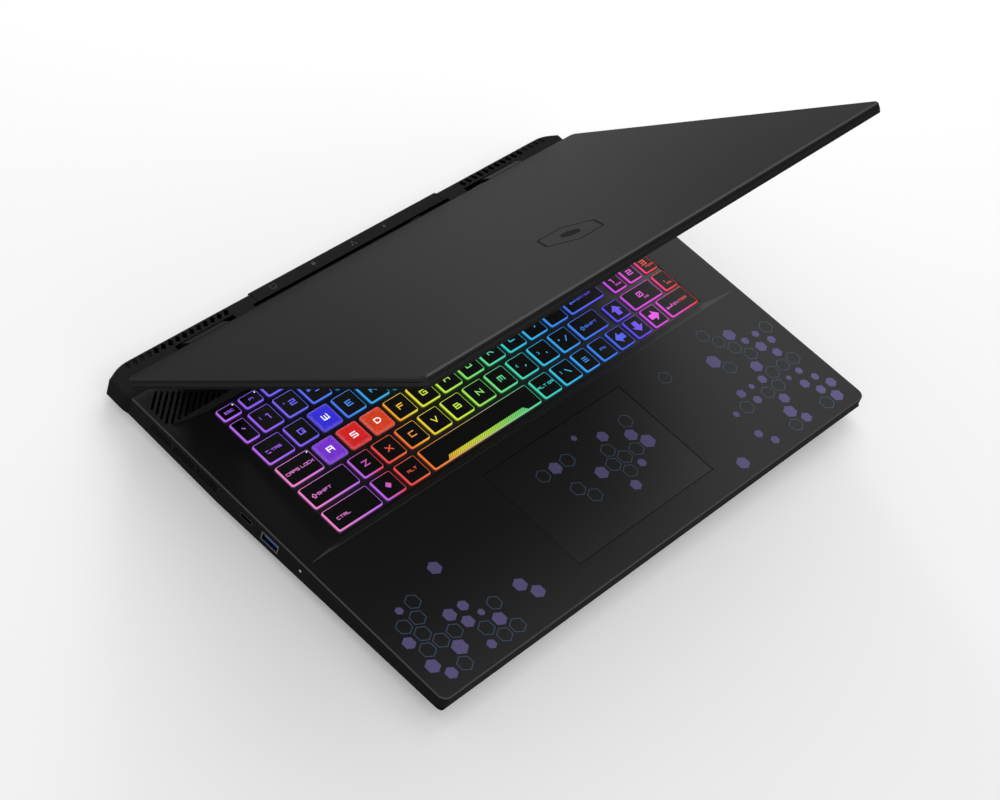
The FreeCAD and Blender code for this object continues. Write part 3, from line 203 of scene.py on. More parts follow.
carried = [
    (lidAluminium, "lid_back_cover"),
    (deckLacquer, "top_case"),
    (wallPlastic, "rear_vent_bezel bottom_cover display_bezel"),
    (hingePlastic, "left_hinge_cap right_hinge_cap"),
    (footRubber, "rubber_feet lid_bumpers"),
    (blackSteel, "left_hinge_bracket right_hinge_bracket left_hinge_leaf right_hinge_leaf"),
    (sheetSteel, "keyboard_plate touchpad_carrier"),
    (blackNickel, "left_usb_c_port"),
    (portNickel, "left_usb_a_port right_usb_a_port network_port video_port"),
    (mouldedNylon, "left_fan_housing right_fan_housing left_fan_rotor right_fan_rotor"),
    (mouldedNylon, "left_speaker right_speaker audio_jack power_inlet webcam_module"),
    (boardMask, "motherboard solid_state_drive memory_module wireless_card left_port_board right_port_board"),
    (drawnCopper, "heat_pipes"),
    (finFoil, "left_fin_stack right_fin_stack"),
    (cellWrap, "battery_pack"),
    (padMylar, "touchpad"),
    (screenGlass, "display_panel"),
    (dimLight, "status_light"),
]
dressed = [(name, material) for material, names in carried for name in names.split()]
for name, material in dressed:
    mesh = nodes[name].data
    mesh.materials.clear()
    mesh.materials.append(material)
print("materials on", len(dressed), "nodes")


# Mesh helpers
def newPiece(name, mesh, materials=()):
    piece = bpy.data.objects.new(name, mesh)
    scene.collection.objects.link(piece)
    mesh.materials.clear()
    for material in materials:
        mesh.materials.append(material)
    return piece


def meshOf(name, verts, faces):
    mesh = bpy.data.meshes.new(name)
    mesh.from_pydata(verts, [], faces)
    return mesh


def pieceFrom(work, name, materials=()):
    bmesh.ops.recalc_face_normals(work, faces=work.faces[:])
    mesh = bpy.data.meshes.new(name)
    work.to_mesh(mesh)
    work.free()
    return newPiece(name, mesh, materials)


def plate(name, verts, faces, drop, materials=()):
    # a flat outline given a little thickness below it, so that it is a closed sheet
    edges = dict.fromkeys(edge for face in faces for edge in zip(face, face[1:] + face[:1]))
    count = len(verts)
    lower = [tuple(c - d for c, d in zip(vert, drop)) for vert in verts]
    under = [tuple(i + count for i in reversed(face)) for face in faces]
    walls = [(b, a, a + count, b + count) for a, b in edges if (b, a) not in edges]
    mesh = meshOf(name, [tuple(vert) for vert in verts] + lower, faces + under + walls)
    return newPiece(name, mesh, materials)


def roundedBox(name, low, high, edge, materials=()):
    work = bmesh.new()
    bmesh.ops.create_cube(work, size=1.0)
    for vert in work.verts:
        vert.co = Vector([(a + b) / 2 + c * (b - a) for a, b, c in zip(low, high, vert.co)])
    bmesh.ops.bevel(work, geom=work.edges[:], offset=edge, segments=2, affect="EDGES", profile=0.5)
    return pieceFrom(work, name, materials)


def discShape(radius, steps):
    angles = [2 * math.pi * i / steps for i in range(steps)]
    return [(radius * math.cos(angle), radius * math.sin(angle)) for angle in angles]


def ringFaces(first, second, count):
    # the band of faces between two rings of points, given by the number of their first points
    pairs = [(i, (i + 1) % count) for i in range(count)]
    return [(first + i, first + j, second + j, second + i) for i, j in pairs]


def addShape(verts, faces, moreVerts, moreFaces):
    faces += [tuple(len(verts) + i for i in face) for face in moreFaces]
    verts += moreVerts


def setAttribute(mesh, name, kind, values, domain="POINT"):
    field = {"FLOAT_VECTOR": "vector", "FLOAT_COLOR": "color"}.get(kind, "value")
    if field != "value":
        values = [c for value in values for c in value]
    mesh.attributes.new(name, kind, domain).data.foreach_set(field, values)


def setOut(piece, body):
    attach(piece, body)
    return piece


def islands(name):
    # boxes of the separate solids in a node, from the front and the left
    mesh = nodes[name].data
    weld = 0.02 * mm
    parent = {}

    def root(key):
        while parent[key] != key:
            parent[key] = parent[parent[key]]
            key = parent[key]
        return key

    keys = [tuple(round(c / weld) for c in v.co) for v in mesh.vertices]
    for key in keys:
        parent.setdefault(key, key)
    for polygon in mesh.polygons:
        first = root(keys[polygon.vertices[0]])
        for i in polygon.vertices[1:]:
            parent[root(keys[i])] = first
    boxes = {}
    for key, vertex in zip(keys, mesh.vertices):
        low, high = boxes.setdefault(root(key), ([math.inf] * 3, [-math.inf] * 3))
        for axis in range(3):
            low[axis] = min(low[axis], vertex.co[axis])
            high[axis] = max(high[axis], vertex.co[axis])
    return sorted(boxes.values(), key=lambda box: (round(box[0][1], 3), box[0][0]))


# Node trees that set out copies of a shape
def newTree(name, inputs):
    tree = bpy.data.node_groups.new(name, "GeometryNodeTree")
    for socket, kind in {"Geometry": "Geometry", **inputs}.items():
        tree.interface.new_socket(socket, in_out="INPUT", socket_type="NodeSocket" + kind)
    tree.interface.new_socket("Geometry", in_out="OUTPUT", socket_type="NodeSocketGeometry")
    return tree, addNode(tree, "NodeGroupInput").outputs


def grown(piece, tree, values):
    # runs a node tree on a piece and keeps the result as a plain mesh
    modifier = piece.modifiers.new("nodes", "NODES")
    modifier.node_group = tree
    for item in tree.interface.items_tree:
        if item.item_type == "SOCKET" and item.in_out == "INPUT" and item.name in values:
            modifier[item.identifier] = values[item.name]
    bpy.context.view_layer.update()
    result = bpy.data.meshes.new_from_object(piece.evaluated_get(bpy.context.evaluated_depsgraph_get()))
    piece.modifiers.remove(modifier)
    old = piece.data
    piece.data = result
    bpy.data.meshes.remove(old)
    return piece


def copiesTree():
    # one shape set out on points, each copy between the smallest share and full size, by a fixed seed
    tree, given = newTree("setOutCopies",
                          {"Shape": "Object", "Smallest": "Float", "Seed": "Int", "Finish": "Material"})
    shape = addNode(tree, "GeometryNodeObjectInfo", None, {"Object": given["Shape"], "As Instance": True})
    scale = addNode(tree, "FunctionNodeRandomValue", {"data_type": "FLOAT"},
                    {"Min": given["Smallest"], "Max": 1.0, "Seed": given["Seed"]})
    spread = addNode(tree, "GeometryNodeInstanceOnPoints", None,
                     {"Points": given["Geometry"], "Instance": shape.outputs["Geometry"],
                      "Scale": scale.outputs["Value"]})
    real = addNode(tree, "GeometryNodeRealizeInstances", None, {"Geometry": spread.outputs["Instances"]})
    finish = addNode(tree, "GeometryNodeSetMaterial", None,
                     {"Geometry": real.outputs["Geometry"], "Material": given["Finish"]})
    addNode(tree, "NodeGroupOutput", None, {"Geometry": finish.outputs["Geometry"]})
    return tree


copies = copiesTree()


def setOutCopies(name, points, shape, finish, smallest=1.0, seed=1):
    piece = newPiece(name, meshOf(name, points, []))
    return grown(piece, copies, {"Shape": shape, "Smallest": smallest, "Seed": seed, "Finish": finish})


# Keys: one list of legends for each node, in the order of its solids from the front and the left
rightLight = [(9.4, "#3cd4c4"), (10.3, "#36bcea"), (11.5, "#3a94f2"), (12.6, "#4270ee"), (13.6, "#5a4ee8"),
              (14.3, "#7c4cea"), (14.6, "#e254e6"), (15.9, "#e658d8"), (16.2, "#f0443e")]
keyboard = {
    "pitch": 19.05, "left": -159.0, "front": -23.5, "legendLift": 0.02, "legendDepth": 0.1,
    "legends": {
        "keys_bottom_row": ["<CTRL", "@diamond", "ALT", "ALT GR", "\\|", "@lines", "FN"],
        "keys_lower_row": ["^SHIFT"] + list("ZXCVBNM") + [",(", ".)", "/+", "^SHIFT"],
        "keys_home_row": ["CAPS LOCK"] + list("FGHJKL") + [";:", "'\""],
        "keys_upper_row": [">TAB"] + list("QERTYUIOP") + ["[", "]", "#"],
        "keys_number_row": ["`", "1!", "2\"", "3#", "4$", "5%", "6^", "7&", "8*", "9(", "0)", "-", "=+",
                            "@back"],
        "keys_function_row": ["ESC"] + ["F%d" % i for i in range(1, 13)] + ["PRT", "INS", "DEL"],
        "keys_numpad": ["&ENTER", "0~INS", ".~DEL", "1~END", "2", "3~PGDN", "4", "5", "6", "7~HOME", "8",
                        "9~PGUP", "NUM", "/", "*"],
        "key_w": ["W"], "key_a": ["A"], "key_s": ["S"], "key_d": ["D"], "key_space": [""],
        "key_enter": ["&ENTER"], "key_arrow_up": ["@up"], "key_arrow_left": ["@left"],
        "key_arrow_down": ["@down"], "key_arrow_right": ["@right"],
    },
    # colours of the four steering keys, lit all over
    "lit": {"key_w": "#3a30ea", "key_a": "#8236e2", "key_s": "#e62222", "key_d": "#e8441e"},
    # colour of the light along the key columns, for the front rows and for the rows behind them
    "frontRows": 2.95,
    "frontLight": [(0, "#ee88d0"), (1.1, "#dd7ce2"), (1.9, "#b868f0"), (2.3, "#c45cd8"), (2.75, "#ee4858"),
                   (3.4, "#f0503a"), (4.1, "#f27a34"), (4.6, "#f2a834"), (5.3, "#eee23a"), (6.4, "#c6f044"),
                   (7.4, "#8aea60"), (8.5, "#5ce090")] + rightLight,
    "rearLight": [(0, "#bc6cf2"), (1.0, "#9160f4"), (2.2, "#6c66f8"), (3.2, "#4c7af8"), (4.3, "#3aa6f2"),
                  (5.4, "#36c2e4"), (7.5, "#44d8b0")] + rightLight,
}
# Pinhole lights near the rear right corners of these caps
pinholes = {"keys": {"keys_function_row": [0, 1], "keys_home_row": [0]}, "inset": (2.0, 1.9), "radius": 0.5,
            "steps": 14}
# Letter strokes on a grid of six by six, as an engraver's squared alphabet; a bar parts the strokes
glyphs = {
    "A": "00 06 66 60|03 63", "B": "00 06 56 53 03|53 63 60 00", "C": "66 06 00 60",
    "D": "00 06 46 64 62 40 00", "E": "66 06 00 60|03 53", "F": "66 06 00|03 53", "G": "66 06 00 60 63 33",
    "H": "00 06|60 66|03 63", "I": "30 36", "J": "66 60 00 02", "K": "00 06|66 33 60|03 33", "L": "06 00 60",
    "M": "00 06 66 60|36 31", "N": "00 06 60 66", "O": "00 06 66 60 00", "P": "00 06 66 63 03",
    "Q": "00 06 66 60 00|43 60",
    "R": "00 06 66 63 03|33 60", "S": "66 06 03 63 60 00", "T": "06 66|36 30", "U": "06 00 60 66",
    "V": "06 30 66", "W": "06 00 60 66|30 35", "X": "00 66|06 60", "Y": "06 33 66|33 30", "Z": "06 66 00 60",
    "0": "00 06 66 60 00|22 44", "1": "16 36 30", "2": "06 66 63 03 00 60", "3": "06 66 60 00|13 63",
    "4": "06 02 62|46 40", "5": "66 06 03 63 60 00", "6": "66 06 00 60 63 03", "7": "06 66 60",
    "8": "00 06 66 60 00|03 63", "9": "63 03 06 66 60 00", ",": "31 20", ".": "30 31", "/": "10 56",
    "\\": "16 50", ";": "34 35|31 20", ":": "34 35|30 31", "'": "36 34", "[": "46 16 10 40",
    "]": "26 56 50 20", "-": "13 53", "=": "14 54|12 52", "`": "26 44", "#": "10 26|40 56|04 64|02 62",
    "*": "13 53|24 42|22 44",
    "+": "13 53|31 35", "!": "36 32|30 31", "\"": "26 24|46 44", "$": "66 06 03 63 60 00|36 30",
    "%": "10 56|06 15|51 60", "^": "14 36 54", "&": "60 15 36 45 02 10 30 63", "(": "46 25 21 40",
    ")": "26 45 41 20", "|": "30 36",
}
# Signs in mm round their own middle
arrowHead = [(0, 4.3), (-4.4, -0.1), (-2.0, -0.1), (-2.0, -4.0), (2.0, -4.0), (2.0, -0.1), (4.4, -0.1)]
shiftArrow = [(0, 1.7), (-1.7, 0), (-0.75, 0), (-0.75, -1.5), (0.75, -1.5), (0.75, 0), (1.7, 0)]
tabArrow = [[(-1.5, 0.3), (-1.2, 0.3), (-1.2, 1.7), (-1.5, 1.7)],
            [(-1.1, 1.0), (-0.2, 0.3), (-0.2, 0.85), (1.5, 0.85), (1.5, 1.15), (-0.2, 1.15), (-0.2, 1.7)]]
signs = {
    "diamond": [[(0, 2.3), (-2.3, 0), (0, -2.3), (2.3, 0)]],
    "lines": [[(-2, y - 0.3), (2, y - 0.3), (2, y + 0.3), (-2, y + 0.3)] for y in (-1.5, 0, 1.5)],
    "back": [[(-3.2, 0), (-1.4, 1.4), (-1.4, 0.35), (3.2, 0.35), (3.2, -0.35), (-1.4, -0.35), (-1.4, -1.4)]],
    "enter": [[(-3.2, -0.4), (-1.5, 1.0), (-1.5, 0), (2.4, 0), (2.4, 1.8), (3.2, 1.8), (3.2, -0.8),
               (-1.5, -0.8), (-1.5, -1.8)]],
    "up": [arrowHead],
    "left": [[(-y, x) for x, y in arrowHead]],
    "down": [[(-x, -y) for x, y in arrowHead]],
    "right": [[(y, -x) for x, y in arrowHead]],
    "tab": tabArrow + [[(-x, -y) for x, y in points] for points in tabArrow],
}
lettering = {
    # in grid units: wider letters, the gap for a space, the gap between letters and half a stroke's width
    "grid": 6, "widen": 1.2, "space": 4.0, "gap": 2.7, "stroke": 0.66, "leastMitre": 0.4,
    # heights, where a cap of less depth than shortCap takes the smaller words
    "letter": 3.2, "word": 1.55, "shortWord": 1.4, "shortCap": 12, "tinyWord": 1.1, "second": 1.8,
    # cap size at which a sign has its full size, and scale and half line of the signs beside words
    "signCap": (11, 15), "signScale": 0.9, "outline": 0.24,
    # sign before a word, and how far the word's start is from the sign's middle
    "marks": {"^": ("shift", 2.6), "&": ("enter", 4.2), ">": ("tab", 2.6)},
    # insets from a cap's left edge, and places from its middle
    "markInset": 5.6, "markY": -0.6, "wordInset": 5.2, "wordY": -0.8, "mainAt": (1.6, 0.0),
    "secondAt": (-3.6, 1.2), "digitAt": (-1.0, 0.8), "tinyWordAt": (1.6, -2.9),
}


def lightAt(x, y):
    # colour of the diodes under a point of the keyboard
    column = (x / mm - keyboard["left"]) / keyboard["pitch"]
    row = (y / mm - keyboard["front"]) / keyboard["pitch"]
    stops = keyboard["frontLight"] if row < keyboard["frontRows"] else keyboard["rearLight"]
    if column <= stops[0][0]:
        return hexColour(stops[0][1])
    for (a, colourA), (b, colourB) in zip(stops, stops[1:]):
        if column <= b:
            part = (column - a) / (b - a)
            return [p + (q - p) * part for p, q in zip(hexColour(colourA), hexColour(colourB))]
    return hexColour(stops[-1][1])


# Shares of a cap's height between which its light comes up
skirtFade = {"from": 0.25, "to": 0.7}


def litMaterial(name, foot, top, shader):
    # the piece's own light colour is in the attribute glow, its height in lift
    material, tree, principled = newMaterial(name, shader)
    glow = addNode(tree, "ShaderNodeAttribute", {"attribute_name": "glow"}).outputs["Color"]
    height = addNode(tree, "ShaderNodeAttribute", {"attribute_name": "lift"}).outputs["Fac"]
    fade = addNode(tree, "ShaderNodeMapRange", None,
                   {"Value": height, "From Min": skirtFade["from"], "From Max": skirtFade["to"],
                    "To Min": foot, "To Max": top}).outputs["Result"]
    tree.links.new(glow, principled.inputs["Emission Color"])
    tree.links.new(fade, principled.inputs["Emission Strength"])
    return material, tree, principled, glow, fade


# Clear polycarbonate skirts, lit from below and smoked at the foot
keySkirt = litMaterial("litPolycarbonateSkirt", 0.05, 1.0,
                       {"Roughness": 0.5, "Base Color": hexColour("#141416"), gloss: 0.1})[0]
# Laser-cut legends that let the light through
legendLight = litMaterial("laserCutLegend", 1.0, 1.0,
                          {"Roughness": 0.5, "Base Color": hexColour("#141416")})[0]
# Clear caps of the four steering keys, lit all over, faintly clouded by the diffuser and paler at the rim
litCap = {"cloud": 1.1, "detail": 2.0, "thin": 0.35, "thick": 0.65, "dim": 0.62, "bright": 0.95,
          "rimShare": 0.1, "rim": "#f0d8e8"}


def litCapMaterial():
    material, tree, principled, glow, fade = litMaterial("litPolycarbonateCap", 0.2, 1.0, {
        "Roughness": 0.5, "Base Color": hexColour("#141416"), gloss: 0.15})
    place = addNode(tree, "ShaderNodeTexCoord").outputs["Object"]
    cloud = addNode(tree, "ShaderNodeTexNoise", None,
                    {"Vector": place, "Scale": 1 / (litCap["cloud"] * mm), "Detail": litCap["detail"]})
    level = addNode(tree, "ShaderNodeMapRange", None,
                    {"Value": cloud.outputs["Fac"], "From Min": litCap["thin"], "From Max": litCap["thick"],
                     "To Min": litCap["dim"], "To Max": litCap["bright"]}).outputs["Result"]
    level = addNode(tree, "ShaderNodeMath", {"operation": "MULTIPLY"}, {0: level, 1: fade}).outputs[0]
    rim = addNode(tree, "ShaderNodeAttribute", {"attribute_name": "rim"}).outputs["Fac"]
    pale = addNode(tree, "ShaderNodeMapRange", None,
                   {"Value": rim, "To Max": litCap["rimShare"]}).outputs["Result"]
    tint = addNode(tree, "ShaderNodeMix", {"data_type": "RGBA"},
                   {"Factor": pale, "A": glow, "B": hexColour(litCap["rim"])})
    tree.links.new(tint.outputs["Result"], principled.inputs["Emission Color"])
    tree.links.new(level, principled.inputs["Emission Strength"])
    return material


keyLens = litCapMaterial()
# Key cap: rings of inset, height and share of the rim's light, from the foot to the middle of the top
capShape = {
    "profile": [(0.0, 0.0, 1.0), (0.06, 0.25, 1.0), (0.42, 1.62, 1.0), (0.5, 1.84, 1.0), (0.62, 1.96, 1.0),
                (0.88, 2.0, 1.0), (0.98, 2.0, 0.6), (2.6, 2.0, 0.0)],
    "paintedFrom": 5, "cornerRadius": 1.7, "leastRadius": 0.3, "cornerSteps": 5,
}


def cornerArcs():
    # for each point of four rounded corners: the corner's side in x and y, and the point's direction
    arcs = []
    for corner, (sideX, sideY) in enumerate(((1, 1), (-1, 1), (-1, -1), (1, -1))):
        for i in range(capShape["cornerSteps"] + 1):
            angle = math.pi / 2 * (corner + i / capShape["cornerSteps"])
            arcs.append((sideX, sideY, math.cos(angle), math.sin(angle)))
    return arcs


def capTemplate():
    # a cap of no width: its corners are pushed apart to each key's size by the node tree
    profile, arcs = capShape["profile"], cornerArcs()
    count = len(arcs)
    verts, pushes, lifts, rims, faces, tops = [], [], [], [], [], []
    for inset, z, rim in profile:
        centre = max(capShape["cornerRadius"], inset + capShape["leastRadius"])
        for sideX, sideY, along, across in arcs:
            verts.append(Vector((-sideX * centre + (centre - inset) * along,
                                 -sideY * centre + (centre - inset) * across, z)) * mm)
            pushes.append((sideX, sideY, 0))
            lifts.append(z / profile[-1][1])
            rims.append(rim)
    for ring in range(len(profile) - 1):
        faces += ringFaces(ring * count, (ring + 1) * count, count)
        tops += [ring >= capShape["paintedFrom"]] * count
    faces += [tuple(range(len(verts) - count, len(verts))), tuple(reversed(range(count)))]
    tops += [True, False]
    mesh = meshOf("capTemplate", verts, faces)
    setAttribute(mesh, "side", "FLOAT_VECTOR", pushes)
    setAttribute(mesh, "lift", "FLOAT", lifts)
    setAttribute(mesh, "rim", "FLOAT", rims)
    setAttribute(mesh, "top", "BOOLEAN", tops, "FACE")
    return newPiece("capTemplate", mesh)


def keyTree():
    tree, given = newTree("keyCaps", {"Cap": "Object", "Skirt": "Material", "Top": "Material"})
    cap = addNode(tree, "GeometryNodeObjectInfo", None, {"Object": given["Cap"], "As Instance": True})
    spread = addNode(tree, "GeometryNodeInstanceOnPoints", None,
                     {"Points": given["Geometry"], "Instance": cap.outputs["Geometry"]})
    real = addNode(tree, "GeometryNodeRealizeInstances", None, {"Geometry": spread.outputs["Instances"]})
    side = addNode(tree, "GeometryNodeInputNamedAttribute", {"data_type": "FLOAT_VECTOR"}, {"Name": "side"})
    half = addNode(tree, "GeometryNodeInputNamedAttribute", {"data_type": "FLOAT_VECTOR"}, {"Name": "half"})
    push = addNode(tree, "ShaderNodeVectorMath", {"operation": "MULTIPLY"},
                   {0: side.outputs["Attribute"], 1: half.outputs["Attribute"]})
    sized = addNode(tree, "GeometryNodeSetPosition", None,
                    {"Geometry": real.outputs["Geometry"], "Offset": push.outputs["Vector"]})
    skirt = addNode(tree, "GeometryNodeSetMaterial", None,
                    {"Geometry": sized.outputs["Geometry"], "Material": given["Skirt"]})
    isTop = addNode(tree, "GeometryNodeInputNamedAttribute", {"data_type": "BOOLEAN"}, {"Name": "top"})
    top = addNode(tree, "GeometryNodeSetMaterial", None,
                  {"Geometry": skirt.outputs["Geometry"], "Selection": isTop.outputs["Attribute"],
                   "Material": given["Top"]})
    addNode(tree, "NodeGroupOutput", None, {"Geometry": top.outputs["Geometry"]})
    return tree


def setGlow(mesh, single=None):
    setAttribute(mesh, "glow", "FLOAT_COLOR", [single or lightAt(v.co.x, v.co.y) for v in mesh.vertices])
    if "lift" not in mesh.attributes:
        mesh.attributes.new("lift", "FLOAT", "POINT")


# Legend shapes, in mm round their own middle
def ribbon(points, half):
    # a stroke of even width with mitred corners and square ends
    closed = points[0] == points[-1]
    line = [Vector(p) for p in (points[:-1] if closed else points)]
    count = len(line)
    verts, faces = [], []
    for i in range(count):
        before = line[i] - line[i - 1] if i or closed else line[1] - line[0]
        after = line[(i + 1) % count] - line[i] if i < count - 1 or closed else line[i] - line[i - 1]
        before, after = before.normalized(), after.normalized()
        across = (Vector((-before.y, before.x)) + Vector((-after.y, after.x))).normalized()
        reach = half / max(lettering["leastMitre"], across.dot(Vector((-after.y, after.x))))
        end = Vector((0, 0))
        if not closed and i == 0:
            end = -after * half
        if not closed and i == count - 1:
            end = before * half
        verts += [line[i] + end + across * reach, line[i] + end - across * reach]
    for i in range(count if closed else count - 1):
        j = (i + 1) % count
        faces.append((2 * i + 1, 2 * j + 1, 2 * j, 2 * i))
    return verts, faces


def outlineShape(points, half, scale=1.0):
    verts, faces = ribbon(points + points[:1], half)
    return [(v.x * scale, v.y * scale) for v in verts], faces


def wordShape(text, height):
    unit = height / lettering["grid"]
    gap = lettering["gap"] * unit
    verts, faces, pen = [], [], 0.0
    for letter in text:
        if letter == " ":
            pen += lettering["space"] * unit
            continue
        strokes = [[(int(p[0]) * unit * lettering["widen"], int(p[1]) * unit) for p in line.split()]
                   for line in glyphs[letter].split("|")]
        low = min(x for line in strokes for x, y in line)
        high = max(x for line in strokes for x, y in line)
        for line in strokes:
            strokeVerts, strokeFaces = ribbon(line, lettering["stroke"] * unit)
            addShape(verts, faces, [(v.x - low + pen, v.y - height / 2) for v in strokeVerts], strokeFaces)
        pen += high - low + gap
    width = pen - gap
    return [(x - width / 2, y) for x, y in verts], faces, width


def signShape(polygons, scale=1.0):
    verts, faces = [], []
    for points in polygons:
        addShape(verts, faces, [(x * scale, y * scale) for x, y in points], [range(len(points))])
    return verts, faces


def legendShapes(text, width, depth):
    # shapes with their places from the middle of a cap; the first letter of some legends says how they stand
    style = lettering
    if not text:
        return []
    if text[0] == "@":
        scale = min(1.0, depth / style["signCap"][1], width / style["signCap"][0])
        return [(*signShape(signs[text[1:]], scale), (0.0, 0.0))]
    wordSize = style["word"] if depth > style["shortCap"] else style["shortWord"]
    if text[0] in style["marks"]:
        *word, wordWidth = wordShape(text[1:], wordSize)
        sign, step = style["marks"][text[0]]
        start = -(wordWidth + step) / 2 if sign == "enter" else style["markInset"] - width / 2
        mark = (outlineShape(shiftArrow, style["outline"], style["signScale"]) if sign == "shift"
                else signShape(signs[sign], style["signScale"]))
        return [(*mark, (start, style["markY"])), (*word, (start + step + wordWidth / 2, style["markY"]))]
    if text[0] == "<":
        *word, wordWidth = wordShape(text[1:], wordSize)
        return [(*word, (style["wordInset"] - width / 2 + wordWidth / 2, style["wordY"]))]
    if "~" in text:
        digit, word = text.split("~")
        return [(*wordShape(digit, style["letter"])[:2], style["digitAt"]),
                (*wordShape(word, style["tinyWord"])[:2], style["tinyWordAt"])]
    if len(text) == 2 and text[0] != "F":
        return [(*wordShape(text[0], style["letter"])[:2], style["mainAt"]),
                (*wordShape(text[1], style["second"])[:2], style["secondAt"])]
    size = style["letter"] if len(text) == 1 else wordSize
    return [(*wordShape(text, size)[:2], (0.0, 0.0))]


cap = capTemplate()
capNodes = keyTree()
legendDrop = (0, 0, keyboard["legendDepth"] * mm)
for name, legends in keyboard["legends"].items():
    boxes = islands(name)
    lit = keyboard["lit"].get(name)
    slot = "lit_key_plastic" if lit else "key_plastic"
    words = "".join(part.capitalize() for part in name.split("_"))
    centres, halves, verts, faces = [], [], [], []
    for (low, high), text in zip(boxes, legends):
        x, y = (low[0] + high[0]) / 2, (low[1] + high[1]) / 2
        z = high[2] + keyboard["legendLift"] * mm
        width, depth = high[0] - low[0], high[1] - low[1]
        centres.append((x, y, low[2]))
        halves.append((width / 2, depth / 2, 0))
        for shapeVerts, shapeFaces, (dx, dy) in legendShapes(text, width / mm, depth / mm):
            placed = [(x + (vx + dx) * mm, y + (vy + dy) * mm, z) for vx, vy in shapeVerts]
            addShape(verts, faces, placed, shapeFaces)
    mesh = meshOf(name + "Points", centres, [])
    setAttribute(mesh, "half", "FLOAT_VECTOR", halves)
    caps = grown(newPiece("caps" + words, mesh), capNodes,
                 {"Cap": cap, "Skirt": keyLens if lit else keySkirt, "Top": keyLens if lit else keyTopPaint})
    setGlow(caps.data, hexColour(lit) if lit else None)
    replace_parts(setOut(caps, name), name)
    if verts:
        legend = plate("legends" + words, verts, faces, legendDrop, [whiteLight if lit else legendLight])
        setGlow(legend.data)
        setOut(legend, name)
    if name in pinholes["keys"]:
        inX, inY = pinholes["inset"]
        corners = [boxes[i][1] for i in pinholes["keys"][name]]
        spots = [(x - inX * mm, y - inY * mm, z + keyboard["legendLift"] * mm) for x, y, z in corners]
        circle = [(x * mm, y * mm, 0) for x, y in discShape(pinholes["radius"], pinholes["steps"])]
        disc = plate("pinhole", circle, [tuple(range(pinholes["steps"]))], legendDrop)
        setOut(setOutCopies("pinholes" + words, spots, disc, whiteLight), name)
        bpy.data.objects.remove(disc)
bpy.data.objects.remove(cap)

# Web of the deck between the keys: one thin sheet with a hole round each cap
web = {"below": 1.4, "thick": 0.6, "gap": 0.25, "margin": 0.85, "holeRadius": 1.9, "sheetRadius": 0.4}


def webLoop(work, low, high, reach, radius, z):
    # edges of a rounded rectangle that stands off a box by the reach
    loop = []
    for sideX, sideY, along, across in cornerArcs():
        x = (high[0] + reach if sideX > 0 else low[0] - reach) - sideX * radius
        y = (high[1] + reach if sideY > 0 else low[1] - reach) - sideY * radius
        loop.append(work.verts.new((x + radius * along, y + radius * across, z)))
    return [work.edges.new(pair) for pair in zip(loop, loop[1:] + loop[:1])]


capBoxes = [box for name in keyboard["legends"] for box in islands(name)]
sheetLow = [min(low[axis] for low, high in capBoxes) for axis in (0, 1)]
sheetHigh = [max(high[axis] for low, high in capBoxes) for axis in (0, 1)]
webTop = capBoxes[0][1][2] - web["below"] * mm
work = bmesh.new()
edges = webLoop(work, sheetLow, sheetHigh, web["margin"] * mm, web["sheetRadius"] * mm, webTop)
for low, high in capBoxes:
    edges += webLoop(work, low, high, web["gap"] * mm, web["holeRadius"] * mm, webTop)
bmesh.ops.triangle_fill(work, use_beauty=True, edges=edges)
for part in bmesh.ops.extrude_face_region(work, geom=work.faces[:])["geom"]:
    if isinstance(part, bmesh.types.BMVert):
        part.co.z -= web["thick"] * mm
setOut(pieceFrom(work, "keyWeb", [webPaint]), "base")

# Light strip along the front of the space bar, between two shares of its width
spaceStrip = {"from": 0.13, "to": 0.87, "front": 0.75, "depth": 3.0, "slant": 2.6, "lift": 0.03, "steps": 24,
              "hatch": 1.3, "hatchAngle": 35, "lineFrom": 0.3, "lineTo": 0.6, "dim": 0.45, "bright": 0.85}


def hatchMaterial():
    # Hatched light guide: slanting lines, where a wave texture of scale one repeats every tenth of pi
    material, tree, principled = litMaterial("hatchedLightGuide", 1.0, 1.0, {
        "Roughness": 0.35, "Base Color": hexColour("#1a1a1c")})[:3]
    place = addNode(tree, "ShaderNodeTexCoord").outputs["Object"]
    turned = addNode(tree, "ShaderNodeMapping", None,
                     {"Vector": place, "Rotation": (0, 0, math.radians(spaceStrip["hatchAngle"]))})
    lines = addNode(tree, "ShaderNodeTexWave",
                    {"wave_type": "BANDS", "bands_direction": "X", "wave_profile": "SIN"},
                    {"Vector": turned.outputs["Vector"], "Scale": math.pi / 10 / (spaceStrip["hatch"] * mm)})
    level = addNode(tree, "ShaderNodeMapRange", None,
                    {"Value": lines.outputs["Fac"], "From Min": spaceStrip["lineFrom"],
                     "From Max": spaceStrip["lineTo"], "To Min": spaceStrip["dim"],
                     "To Max": spaceStrip["bright"]})
    tree.links.new(level.outputs["Result"], principled.inputs["Emission Strength"])
    return material


low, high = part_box("key_space")
left, right = [low[0] + (high[0] - low[0]) * spaceStrip[end] for end in ("from", "to")]
front, slant = low[1] + spaceStrip["front"] * mm, spaceStrip["slant"] * mm
back, z = front + spaceStrip["depth"] * mm, high[2] + spaceStrip["lift"] * mm
verts, faces = [], []
for i in range(spaceStrip["steps"] + 1):
    part = i / spaceStrip["steps"]
    verts.append((left + (right - left) * part, front, z))
    verts.append((left + slant + (right - left - 2 * slant) * part, back, z))
    if i:
        faces.append((2 * i - 2, 2 * i, 2 * i + 1, 2 * i - 1))
strip = plate("spaceStrip", verts, faces, legendDrop, [hatchMaterial()])
setGlow(strip.data)
setOut(strip, "key_space")
print("keys done:", len(keyboard["legends"]), "groups")

